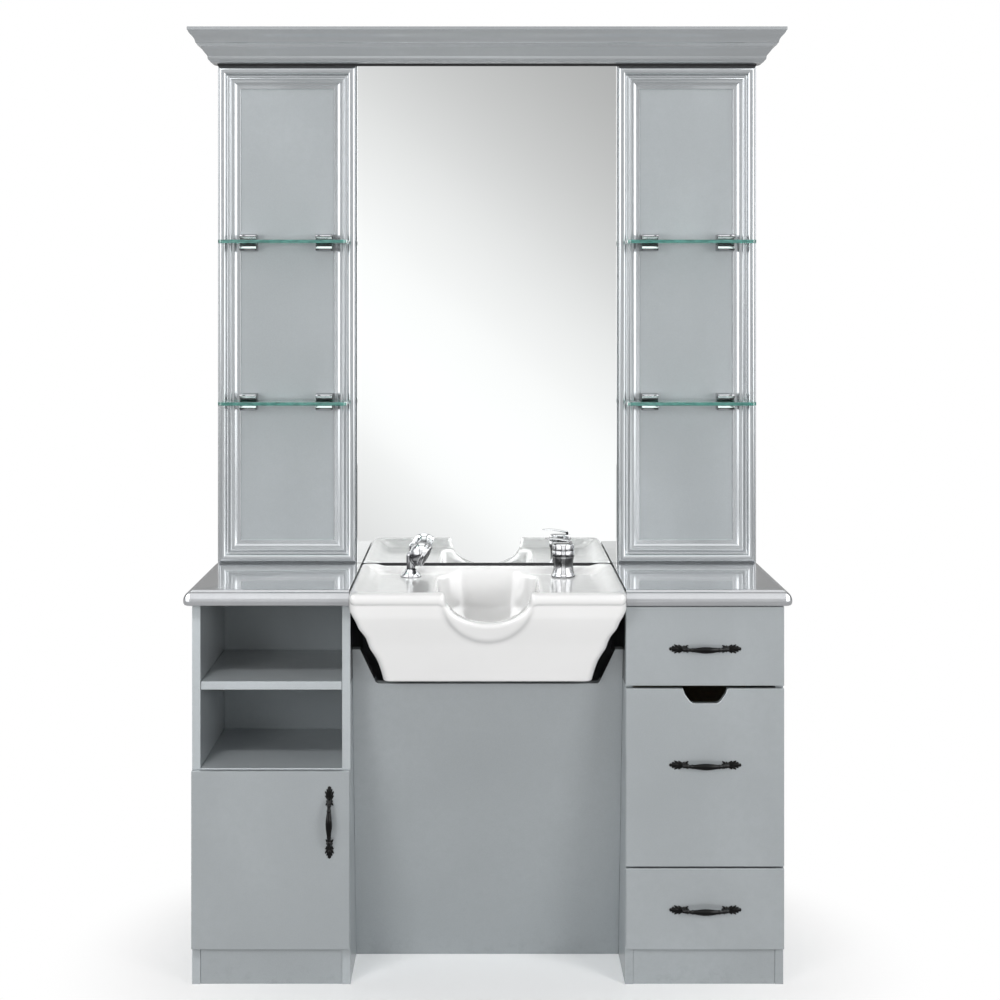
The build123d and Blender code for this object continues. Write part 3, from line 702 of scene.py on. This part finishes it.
def lever():
    """Leaf-shaped lever: thin, arched, with a rounded tip."""
    x, y, z = MIXER
    rings = []
    steps = 30
    for i in range(steps + 1):
        u = i / steps
        px = x + 19.5 - 62.3 * u
        top = z + 84.6 + 7.2 * math.sin(min(1.0, u * 1.25) * math.pi / 2)
        top -= 1.2 * max(0.0, u - 0.8) / 0.2
        thick = 4.6 * (1 - u) + 1.9 * u
        if u < 0.12:
            half = 7.4
        else:
            half = 7.4 + 3.6 * min(1.0, (u - 0.12) / 0.18)
        if u > 0.72:
            t = (u - 0.72) / 0.28
            half *= math.sqrt(max(0.02, 1 - t ** 2.4))
        ring = []
        for a in angles(24):
            c, s = math.cos(a), math.sin(a)
            oy = half * math.copysign(abs(c) ** 0.7, c)
            oz = thick / 2 * math.copysign(abs(s) ** 0.8, s)
            camber = 1.2 * (1 - (oy / 11.0) ** 2)
            ring.append((px, y + oy, top - thick / 2 + oz + camber - 1.2))
        rings.append(ring)
    verts, faces = stack(rings)
    hub = []
    for dy in (-7.6, -7.2, 7.2, 7.6):
        r = 2.6 if abs(dy) > 7.3 else 2.9
        hub.append([(x + 17 + r * math.cos(a), y + dy,
                     z + 82.5 + r * math.sin(a)) for a in angles(32)])
    join(verts, faces, stack(hub))
    piece("mixer_lever_leaf", verts, faces, "chrome", "mixer_lift_lever",
          ["mixer_lever"])


def spray():
    x0, y0, z0 = SPRAY
    dome = [(0, 0), (24.4, 0), (24.6, 1.4), (24.0, 3.6), (22.2, 6.6),
            (19.2, 9.8), (16.2, 12.6), (14.2, 15.4), (13.2, 17.2),
            (12.4, 18.0), (9.2, 18.0), (9.05, 17.0), (9.05, 2.0)]
    verts, faces = lathe(dome, SPRAY)
    piece("spray_base", verts, faces, "chrome", "station", ["spray_holder"])
    n = Vector((0.86, -0.17, -0.46)).normalized()
    low = (-40.0, -40.0, 0.0)
    step = 0.75
    x, y, z = grid(low, (60.0, 40.0, 95.0), step)
    stem = capsule(x, y, z, (0, 0, 21), (-1.5, 0, 49.5), 10.4, 9.4)
    stem = np.maximum(stem, 18.6 - z)
    cx, cy, cz = 25.0, -3.0, 54.5
    px, py, pz = x - cx, y - cy, z - cz
    along = px * n.x + py * n.y + pz * n.z
    ring = np.sqrt(np.maximum(px ** 2 + py ** 2 + pz ** 2 - along ** 2, 0))
    ball = np.hypot(ring, np.minimum(along, 0)) - 27.4
    head = smax(ball, along - 14.5, 3.0)
    waist = smin(stem, head, 5.0)
    cup = np.maximum(ring - 22.6, 11.5 - along)
    body = smax(waist, -cup, 1.4)
    groove = np.hypot(ring - 27.6, along - 5.0) - 1.3
    body = smax(body, -groove, 0.8)
    plug = np.maximum(np.hypot(x, y) - 8.9, np.maximum(2.0 - z, z - 24))
    body = np.minimum(body, plug)
    mesh = skin(body, (low[0] + x0, low[1] + y0, low[2] + z0), step)
    finish_piece("spray_body", mesh, "chrome", "hand_spray", ["spray_head"],
                 50.0)
    spray_plate(n, Vector((x0 + cx, y0 + cy, z0 + cz)))
    hose()


def capsule(x, y, z, a, b, ra, rb):
    """Round cone between two points."""
    a, b = Vector(a), Vector(b)
    d = b - a
    t = ((x - a.x) * d.x + (y - a.y) * d.y + (z - a.z) * d.z) / d.length ** 2
    t = np.clip(t, 0, 1)
    gap = np.sqrt((x - a.x - t * d.x) ** 2 + (y - a.y - t * d.y) ** 2
                  + (z - a.z - t * d.z) ** 2)
    return gap - (ra + (rb - ra) * t)


def spray_plate(n, centre):
    """Nozzle plate with rings of small teats."""
    u = n.orthogonal().normalized()
    v = n.cross(u)
    verts, faces = [], []

    def dish(at, prof, steps):
        rings = []
        for r, h in prof:
            rings.append([tuple(at + n * h + u * (r * math.cos(a))
                                + v * (r * math.sin(a)))
                          for a in angles(steps)])
        join(verts, faces, stack(rings))

    dish(centre, [(0.01, 10), (22.2, 10), (22.2, 12.6), (21.4, 13.2),
                  (0.01, 13.4)], 64)
    for ring, count in ((5.0, 6), (10.0, 12), (15.0, 18), (19.4, 24)):
        for a in angles(count):
            at = centre + u * (ring * math.cos(a)) + v * (ring * math.sin(a))
            dish(at, [(1.1, 13.0), (0.9, 14.3), (0.3, 14.4)], 10)
    piece("spray_nozzles", verts, faces, "nozzle", "hand_spray",
          ["spray_face"])


HOSE_FOOT = 300.0
HOSE_HEAD = 850.0


def hose():
    """Ribbed metal hose from the wall elbow up into the spray."""
    x, y = SPRAY[:2]
    rings = []
    z = HOSE_FOOT
    while z <= HOSE_HEAD:
        r = 5.35 + 0.5 * math.cos(2 * math.pi * (z - HOSE_FOOT) / 3.0)
        rings.append([(x + r * math.cos(a), y + r * math.sin(a), z)
                      for a in angles(20)])
        z += 0.75
    verts, faces = stack(rings)
    obj = piece("spray_hose_tube", verts, faces, "hose_metal", None,
                ["spray_hose"])
    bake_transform(obj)


# ---- handles ------------------------------------------------------------
FRONT_Y = -206.0


def handle_mesh():
    """Bowed spindle grip with openwork leaf ends, base at y = 0."""
    step = 0.55
    low = (-82.0, -29.0, -13.0)
    x, y, z = grid(low, (82.0, 2.0, 13.0), step)
    ax, az = np.abs(x), np.abs(z)
    bow = 7.5 + 13.2 * np.sqrt(np.maximum(0.0, 1 - (ax / 53.0) ** 2))
    r = 3.2 + 3.9 * np.exp(-(ax / 25.0) ** 2)
    r += 1.7 * np.exp(-((ax - 39.5) / 1.5) ** 2)
    r += 1.1 * np.exp(-((ax - 43.5) / 1.2) ** 2)
    r += 0.9 * np.exp(-((ax - 29.0) / 1.4) ** 2)
    grip = (np.hypot(z, y + bow) - r) * 0.85
    grip = np.maximum(grip, ax - 50.0)
    post = capsule(ax, y, z, (48, -0.5, 0), (47, -11.5, 0), 5.2, 3.6)
    body = smin(grip, post, 3.0)
    lift = (y + 1.5) * 1.5
    leaf = capsule(ax, lift, z, (38, 0, 0), (58, 0, 0), 3.4, 2.2)
    bud = np.sqrt(((ax - 66.5) / 11.0) ** 2 + (az / 3.9) ** 2
                  + ((y + 1.2) / 3.2) ** 2)
    leaf = smin(leaf, (bud - 1) * 3.6, 0.8)
    leaf = smin(leaf, capsule(ax, lift, az, (76.2, 0, 0), (77.0, 0, 0),
                              1.5, 1.4), 0.6)
    petals = [((47, 0.5), (53, 4.6), 3.0, 2.6),
              ((53, 4.6), (57, 8.2), 2.6, 1.5),
              ((56, 2.5), (62, 6.0), 3.0, 2.4),
              ((62, 6.0), (66, 8.6), 2.4, 1.5),
              ((64, 2.0), (70.5, 5.2), 2.8, 1.7),
              ((70, 1.0), (75.5, 2.0), 2.4, 1.8),
              ((44, 0.5), (41, 5.2), 2.6, 2.3),
              ((41, 5.2), (37.6, 7.4), 2.3, 1.4),
              ((47, 1.0), (46, 5.6), 2.6, 2.0)]
    for (x1, z1), (x2, z2), ra, rb in petals:
        part = capsule(ax, lift, az, (x1, 0, z1), (x2, 0, z2), ra, rb)
        leaf = smin(leaf, part, 0.7)
    collar = capsule(ax, lift, az, (46, 0, 0), (46, 0, 5.0), 2.6, 2.2)
    leaf = smin(leaf, collar, 0.7)
    body = smin(body, leaf, 1.2)
    body = np.maximum(body, y + 0.05)
    return skin(body, low, step)


def placed_handle(mesh, at, upright=False):
    """Copy of the handle mesh at a point, turned upright if asked."""
    place = mesh.copy()
    co = np.empty(len(place.vertices) * 3, np.float32)
    place.vertices.foreach_get("co", co)
    co = co.reshape(-1, 3)
    if upright:
        co = np.stack([-co[:, 2], co[:, 1], co[:, 0]], axis=1)
    co = co + np.array(Vector(at) * MM)
    place.vertices.foreach_set("co", co.astype(np.float32).ravel())
    return place


def handles():
    mesh = handle_mesh()
    for name, height in (("top", 732.0), ("middle", 481.0),
                         ("bottom", 168.0)):
        finish_piece(f"{name}_handle_casting",
                     placed_handle(mesh, (470.0, FRONT_Y, height)),
                     "handle_iron", f"{name}_drawer",
                     [f"{name}_drawer_handle"], 60.0)
    finish_piece("door_handle_casting",
                 placed_handle(mesh, (-342.0, FRONT_Y, 357.0), True),
                 "handle_iron", "cupboard_door", ["door_handle"], 60.0)


# ---- counters -----------------------------------------------------------
def counter(name, side):
    """Slab with a full rounded nose, a raised bead and a flat top."""
    inner, outer = 299.0, 658.0
    nose = [(13.0, 826.0), (6.0, 826.4), (2.4, 828.0), (0.6, 831.2),
            (0.0, 835.4), (0.5, 840.2), (1.9, 844.8), (4.2, 849.0),
            (7.2, 852.4), (10.6, 854.8), (13.2, 855.8), (14.4, 855.3),
            (15.6, 855.5), (16.8, 857.2), (18.2, 859.0), (20.2, 859.9),
            (22.5, 860.0)]
    rings = []
    for inset, z in nose:
        r = max(2.0, 18.0 - inset)
        ex, ey = outer - inset, COUNTER_FRONT + inset
        ring = [(inner, WALL_Y, z), (inner, ey, z)]
        for k in range(13):
            a = -math.pi / 2 + math.pi / 2 * k / 12
            ring.append((ex - r + r * math.cos(a), ey + r + r * math.sin(a),
                         z))
        ring.append((ex, WALL_Y, z))
        ring = [(side * p[0], p[1], p[2]) for p in ring]
        rings.append(ring if side > 0 else ring[::-1])
    verts, faces = stack(rings)
    piece(name, verts, faces, "counter_lacquer", "station",
          [f"{name.split('_')[0]}_counter"], 30.0)


# ---- mouldings ----------------------------------------------------------
def bead(a, b, height, steps=8):
    """Half-round bump between two points of a section."""
    out = []
    for k in range(1, steps):
        t = k / steps
        x = a[0] + (b[0] - a[0]) * (0.5 - 0.5 * math.cos(math.pi * t))
        y = a[1] + (b[1] - a[1]) * t + height * math.sin(math.pi * t)
        out.append((x, y))
    return out


def tower_frame(name, x0, x1):
    """Mitred picture frame: section swept round one tower front."""
    sec = [(0.4, 0.0), (0.0, 0.6), (0.0, 12.4), (0.8, 13.2), (1.8, 13.6)]
    sec += bead((1.8, 13.6), (21, 13.6), 8.2, 16) + [(21.0, 13.4)]
    sec += [(21.4, 11.9), (22.2, 11.3)]
    sec += bead((22.2, 11.3), (27.6, 11.8), -1.5, 6)
    sec += [(27.7, 12.1)] + bead((27.8, 12.2), (33.4, 12.2), 2.9, 8)
    sec += [(33.5, 11.7), (34.2, 11.5), (38.2, 10.7), (38.7, 11.1),
            (39.5, 10.9), (40.0, 9.6), (44.8, 7.7), (45.3, 8.1),
            (46.1, 7.9), (46.6, 6.6), (53.2, 4.6), (54.0, 3.9),
            (54.0, 0.0)]
    z0, z1 = COUNTER_TOP, CROWN_LOW
    verts, faces = [], []
    for q, h in sec:
        y = TOWER_FACE_Y - h
        verts += [(x0 + q, y, z0 + q), (x1 - q, y, z0 + q),
                  (x1 - q, y, z1 - q), (x0 + q, y, z1 - q)]
    n = len(sec)
    for i in range(n):
        j = (i + 1) % n
        for k in range(4):
            m = (k + 1) % 4
            faces.append((i * 4 + k, i * 4 + m, j * 4 + m, j * 4 + k))
    piece(name, verts, faces, "gloss_lacquer", "station",
          [f"{name.split('_')[0]}_tower_moulding"], 24.0)


def crown():
    """Crown section carried round front and both returns."""
    sec = [(0.0, 4.2), (8.4, 4.2), (9.6, 4.8), (12.0, 5.4),
           (14.6, 6.9), (16.2, 9.0), (17.0, 10.6), (18.6, 11.4),
           (20.0, 13.2), (20.7, 15.6), (20.9, 18.4), (21.2, 20.6),
           (22.6, 22.8), (25.8, 26.4), (29.4, 31.0), (33.2, 36.4),
           (35.8, 39.4), (32.6, 39.7), (32.6, 41.7), (39.2, 42.0),
           (39.2, 43.7), (41.0, 44.0),
           (43.0, 44.6), (43.0, 47.4), (45.0, 48.4), (46.2, 49.2),
           (46.9, 53.0), (48.6, 57.4), (51.0, 61.2), (54.0, 64.6),
           (57.4, 68.0), (60.2, 71.6), (61.6, 74.6), (62.2, 76.6),
           (63.6, 77.0), (64.0, 77.5), (64.0, 84.4), (63.4, 85.0),
           (0.0, 85.0)]
    verts, faces = [], []
    for p, h in sec:
        x, y, z = HALF_WIDTH + p, CROWN_FACE_Y - p, CROWN_LOW + h
        verts += [(-x, WALL_Y, z), (-x, y, z), (x, y, z), (x, WALL_Y, z)]
    n = len(sec)
    for i in range(n):
        j = (i + 1) % n
        for k in range(3):
            faces.append((i * 4 + k, i * 4 + k + 1, j * 4 + k + 1,
                          j * 4 + k))
    faces.append(tuple(4 * i for i in range(n)))
    faces.append(tuple(4 * i + 3 for i in range(n - 1, -1, -1)))
    piece("crown_run", verts, faces, "gloss_lacquer", "station",
          ["crown_moulding"], 24.0)


# ---- glass shelves ------------------------------------------------------
SHELF_X = 476.5
SHELF_Z = (1245.0, 1623.0)


def glass():
    """Four shelves with rounded front corners and polished arrises."""
    verts, faces, slots = [], [], []
    for side in (-1, 1):
        for z in SHELF_Z:
            part = pane(side * SHELF_X, z)
            join(verts, faces, part)
            slots += [0 if len(f) > 4 else 1 for f in part[1]]
    obj = piece("glass_panes", verts, faces, "clear_glass", "station",
                ["glass_shelves"], 30.0)
    obj.data.materials.append(MATS["glass_edge"])
    obj.data.polygons.foreach_set("material_index", slots)


def pane(cx, z):
    rings = []
    for inset, dz in ((0.8, -4.0), (0.0, -3.2), (0.0, 3.2), (0.8, 4.0)):
        ring = []
        x0, x1 = cx - 150 + inset, cx + 150 - inset
        y0, y1 = 122.0 + inset, 237.0 - inset
        r = 10.0 - inset
        for k in range(9):
            a = math.pi + math.pi / 2 * k / 8
            ring.append((x0 + r + r * math.cos(a), y0 + r + r * math.sin(a),
                         z + dz))
        for k in range(9):
            a = -math.pi / 2 + math.pi / 2 * k / 8
            ring.append((x1 - r + r * math.cos(a), y0 + r + r * math.sin(a),
                         z + dz))
        ring += [(x1, y1, z + dz), (x0, y1, z + dz)]
        rings.append(ring)
    return stack(rings)


# ---- shelf clips --------------------------------------------------------
def clips():
    """Chrome clamps: two jaws on a spine; the jaw faces at the glass are dark,
    a painted shade.
    """
    jaw = [(261.8, 4.3), (221.5, 4.3), (219.6, 5.2), (216.0, 9.0),
           (213.0, 12.8), (212.1, 15.2), (212.8, 17.6), (215.4, 19.3),
           (219.0, 19.9), (261.8, 19.9)]
    spine = [(261.9, -4.4), (261.9, 4.4), (237.2, 4.4), (237.2, -4.4)]
    under = [(y, -z) for y, z in jaw[::-1]]
    verts, faces, slots = [], [], []
    for side in (-1, 1):
        for glass_z in SHELF_Z:
            for dx in (-90.0, 90.0):
                cx = side * SHELF_X + dx
                # painted shade: the jaw faces next to the glass take the dark
                # nozzle material
                for section, pad in ((jaw, (1, 2)), (under, (6, 7)),
                                     (spine, ())):
                    part = bar(section, cx, glass_z)
                    join(verts, faces, part)
                    sides = len(section)
                    slots += [int(len(f) == 4 and k % sides in pad)
                              for k, f in enumerate(part[1])]
    obj = piece("shelf_clamps", verts, faces, "chrome", "station",
                ["shelf_clips"], 28.0)
    obj.data.materials.append(MATS["nozzle"])
    obj.data.polygons.foreach_set("material_index", slots)


def bar(section, cx, cz):
    """Section in Y and Z run along X, drawn in a little at both ends."""
    mid_y = sum(p[0] for p in section) / len(section)
    mid_z = sum(p[1] for p in section) / len(section)
    rings = []
    for dx, shrink in ((-20.0, 1.4), (-19.4, 0.4), (-18.4, 0.0),
                       (18.4, 0.0), (19.4, 0.4), (20.0, 1.4)):
        ring = []
        for y, z in section:
            ring.append((cx + dx, y + math.copysign(shrink, mid_y - y),
                         cz + z + math.copysign(shrink, mid_z - z)))
        rings.append(ring)
    return stack(rings)


# ---- CAD nodes shown as they are ---------------------------------------
SHOWN = {
    "lacquer": ["left_outer_side", "left_inner_side", "right_inner_side",
                "right_outer_side", "bottom_boards", "left_divider_board",
                "left_middle_shelf", "kick_boards", "centre_panel",
                "tower_boards", "door", "top_drawer_front",
                "middle_drawer_front", "bottom_drawer_front"],
    # back boards take the darker lacquer copy, a painted shade
    "back_lacquer_painted_shade": ["back_boards"],
    "core_board": ["top_rails", "panel_battens", "top_drawer_box",
                   "middle_drawer_box", "bottom_drawer_box"],
    # near-black boards whose gaps read as painted shadow lines
    "dark_board": ["bay_rear_rail", "mirror_backing", "crown_core"],
    "chrome": ["drain_tailpiece"],
    "steel": ["shelf_pins", "tap_nuts", "supply_hoses", "fixing_screws",
              "hinge_arms", "hinge_cups", "runner_cabinet_members",
              "top_runner_middle", "middle_runner_middle",
              "bottom_runner_middle", "top_runner_drawer",
              "middle_runner_drawer", "bottom_runner_drawer"],
    "black_steel": ["bowl_bracket"],
    "mirror": ["mirror_glass"],
}
EASED = {"lacquer": 1.1, "back_lacquer_painted_shade": 0.6, "core_board": 0.6,
         "dark_board": 0.6, "chrome": 1.0, "steel": 0.3,
         "black_steel": 0.8, "mirror": 0.8}


def dress():
    """Materials and eased edges on the CAD nodes that stay in view."""
    for slot, names in SHOWN.items():
        for name in names:
            obj = nodes[name]
            obj.data.materials.clear()
            obj.data.materials.append(MATS[slot])
            if "custom_normal" in obj.data.attributes:
                obj.data.attributes.remove(
                    obj.data.attributes["custom_normal"])
            painted_reflection = [True] * len(obj.data.polygons)
            obj.data.polygons.foreach_set("use_smooth", painted_reflection)
            weld = obj.modifiers.new("weld", "WELD")
            weld.merge_threshold = 1e-5
            flat = obj.modifiers.new("flat", "DECIMATE")
            flat.decimate_type = "DISSOLVE"
            flat.angle_limit = math.radians(1.0)
            bevel = obj.modifiers.new("ease", "BEVEL")
            bevel.width = EASED[slot] * MM
            bevel.segments = 3
            bevel.limit_method = "ANGLE"
            bevel.angle_limit = math.radians(40)
            bevel.use_clamp_overlap = True
            even = obj.modifiers.new("even", "WEIGHTED_NORMAL")
            even.keep_sharp = True


# ---- room, light and camera --------------------------------------------
FLOOR_SEEN = 0.57


def room():
    """Pale floor that fades out, darker when seen by reflection."""
    bpy.ops.mesh.primitive_circle_add(vertices=96, radius=14.0,
                                      fill_type="NGON")
    floor = bpy.context.object
    floor.name = "studio_floor"
    mat = bpy.data.materials.new("studio_floor")
    t, out = shader_tree(mat, "ShaderNodeOutputMaterial")
    mix = t.nodes.new("ShaderNodeMixShader")
    paint = t.nodes.new("ShaderNodeBsdfDiffuse")
    glow = t.nodes.new("ShaderNodeEmission")
    path = t.nodes.new("ShaderNodeLightPath")
    pale = sum_node(t, "MULTIPLY", path.outputs["Is Camera Ray"], 0.20)
    t.links.new(sum_node(t, "ADD", pale, 0.75), paint.inputs["Color"])
    coord = t.nodes.new("ShaderNodeTexCoord")
    length = t.nodes.new("ShaderNodeVectorMath")
    length.operation = "LENGTH"
    t.links.new(coord.outputs["Object"], length.inputs[0])
    fade = range_node(t, length.outputs["Value"], 0.35, 1.0, smooth=True)
    power = sum_node(t, "MULTIPLY", path.outputs["Is Camera Ray"],
                     1.0 - FLOOR_SEEN)
    power = sum_node(t, "ADD", power, FLOOR_SEEN)
    t.links.new(power, glow.inputs["Strength"])
    t.links.new(fade, mix.inputs[0])
    t.links.new(paint.outputs[0], mix.inputs[1])
    t.links.new(glow.outputs[0], mix.inputs[2])
    t.links.new(mix.outputs[0], out.inputs["Surface"])
    floor.data.materials.append(mat)
    card()


def card():
    """Graded card behind the camera that fills the mirror."""
    bpy.ops.mesh.primitive_plane_add(size=1.0, location=(0, -6.2, 1.5),
                                     rotation=(math.radians(90), 0, 0))
    board_obj = bpy.context.object
    board_obj.name = "studio_card"
    board_obj.scale = (1.9, 3.0, 1.0)
    board_obj.visible_camera = False
    board_obj.visible_diffuse = False
    board_obj.visible_shadow = False
    mat = bpy.data.materials.new("studio_card")
    t, out = shader_tree(mat, "ShaderNodeOutputMaterial")
    geo = t.nodes.new("ShaderNodeNewGeometry")
    split = t.nodes.new("ShaderNodeSeparateXYZ")
    t.links.new(geo.outputs["Position"], split.inputs[0])
    slant = sum_node(t, "MULTIPLY", split.outputs["X"], 0.82)
    slant = sum_node(t, "ADD", slant, split.outputs["Z"])
    level = sum_node(t, "MULTIPLY", sum_node(t, "ADD", slant, 0.8), 0.2)
    glow = t.nodes.new("ShaderNodeEmission")
    stops = [(0.0, 0.66), (0.115, 0.84), (0.18, 0.94), (0.26, 1.06),
             (0.38, 1.05), (0.46, 0.96), (0.544, 0.845), (0.61, 0.735),
             (0.70, 0.61), (0.83, 0.48), (1.0, 0.36)]
    t.links.new(ramp_node(t, level, stops), glow.inputs["Strength"])
    t.links.new(glow.outputs[0], out.inputs["Surface"])
    board_obj.data.materials.append(mat)


def world():
    """White to the camera, even to soft light, graded to reflections."""
    w = bpy.data.worlds.new("studio")
    bpy.context.scene.world = w
    t, out = shader_tree(w, "ShaderNodeOutputWorld")
    coord = t.nodes.new("ShaderNodeTexCoord")
    split = t.nodes.new("ShaderNodeSeparateXYZ")
    t.links.new(coord.outputs["Generated"], split.inputs[0])
    up = sum_node(t, "ADD", sum_node(t, "MULTIPLY", split.outputs["Z"], 0.5),
                  0.5)
    rise = ramp_node(t, up, [(0.0, 0.36), (0.47, 0.68), (0.53, 0.93),
                             (0.66, 0.90), (0.76, 1.75), (1.0, 1.7)])
    aside = sum_node(t, "ABSOLUTE", split.outputs["X"], 0.0)
    flank = ramp_node(t, aside, [(0.0, 1.0), (0.28, 0.95), (0.38, 0.6),
                                 (0.46, 4.6), (0.88, 4.6), (0.98, 1.8),
                                 (1.0, 1.6)])
    ahead = ramp_node(t, split.outputs["Y"], [(0.0, 1.0), (0.05, 1.0),
                                              (0.25, 0.0), (1.0, 0.0)])
    flank = sum_node(t, "MULTIPLY", sum_node(t, "SUBTRACT", flank, 1.0),
                     ahead)
    flank = sum_node(t, "ADD", flank, 1.0)
    rear = ramp_node(t, split.outputs["Y"], [(0.0, 1.0), (0.06, 0.95),
                                             (0.30, 0.45), (1.0, 0.40)])
    seen = sum_node(t, "MULTIPLY", sum_node(t, "MULTIPLY", rise, flank), rear)
    path = t.nodes.new("ShaderNodeLightPath")
    shine = path.outputs["Is Glossy Ray"]
    plain = sum_node(t, "MULTIPLY", sum_node(t, "SUBTRACT", 1.0, shine), 0.29)
    seen = sum_node(t, "ADD", plain, sum_node(t, "MULTIPLY", seen, shine))
    eye = path.outputs["Is Camera Ray"]
    seen = sum_node(t, "MULTIPLY", seen, sum_node(t, "SUBTRACT", 1.0, eye))
    seen = sum_node(t, "ADD", seen, eye)
    back = t.nodes.new("ShaderNodeBackground")
    back.inputs["Color"].default_value = (1, 1, 1, 1)
    t.links.new(seen, back.inputs["Strength"])
    t.links.new(back.outputs[0], out.inputs["Surface"])


def lamp(name, at, target, size, power):
    data = bpy.data.lights.new(name, "AREA")
    data.shape = "RECTANGLE"
    data.size, data.size_y = size
    data.energy = power
    obj = bpy.data.objects.new(name, data)
    bpy.context.scene.collection.objects.link(obj)
    obj.location = at
    aim = Vector(target) - Vector(at)
    obj.rotation_euler = aim.to_track_quat("-Z", "Y").to_euler()
    obj.visible_camera = False
    obj.visible_glossy = False
    return obj


def shelf_lamp():
    """Steep narrow light that reaches only the open compartments."""
    obj = lamp("shelf_lamp", (-0.95, -2.3, 2.7), (-0.47, -0.1, 0.6),
               (0.3, 0.3), 75)
    group = bpy.data.collections.new("open_compartments")
    for name in ("left_middle_shelf", "left_divider_board",
                 "left_outer_side", "left_inner_side"):
        group.objects.link(nodes[name])
    obj.light_linking.receiver_collection = group


def lights():
    lamp("key", (-1.8, -3.4, 1.6), (0, 0, -0.4), (1.3, 1.1), 74)
    lamp("fill", (2.3, -3.0, 1.45), (0, 0, -0.4), (1.2, 1.0), 62)
    lamp("overhead", (0.6, -1.7, 3.6), (0, 0, 0.9), (2.6, 1.2), 14)
    shelf_lamp()


CAMERA_BACK = 4.585


def camera():
    """Level view camera with a shifted lens, as the verticals are parallel.

    The shift holds only at this place, so other views stay centred.
    """
    data = bpy.data.cameras.new("view")
    cam = bpy.data.objects.new("view", data)
    bpy.context.scene.collection.objects.link(cam)
    cam.location = (-0.018, -CAMERA_BACK, 1.475)
    cam.rotation_euler = (math.radians(90), 0, 0)
    data.sensor_width = 36.0
    data.lens = 72.94
    for prop, amount in (("shift_x", 0.0206), ("shift_y", -0.195)):
        curve = data.driver_add(prop)
        curve.driver.type = "SCRIPTED"
        var = curve.driver.variables.new()
        var.name = "y"
        var.type = "TRANSFORMS"
        var.targets[0].id = cam
        var.targets[0].transform_type = "LOC_Y"
        var.targets[0].transform_space = "WORLD_SPACE"
        curve.driver.expression = (
            f"{amount} if abs(y + {CAMERA_BACK}) < 0.001 else 0")
    bpy.context.scene.camera = cam


bowl()
strainer()
mixer()
spray()
handles()
counter("left_counter_slab", -1)
counter("right_counter_slab", 1)
tower_frame("left_tower_frame", -HALF_WIDTH, -TOWER_INNER)
tower_frame("right_tower_frame", TOWER_INNER, HALF_WIDTH)
crown()
glass()
clips()
dress()
room()
world()
lights()
camera()
bpy.context.scene.view_settings.view_transform = "Standard"
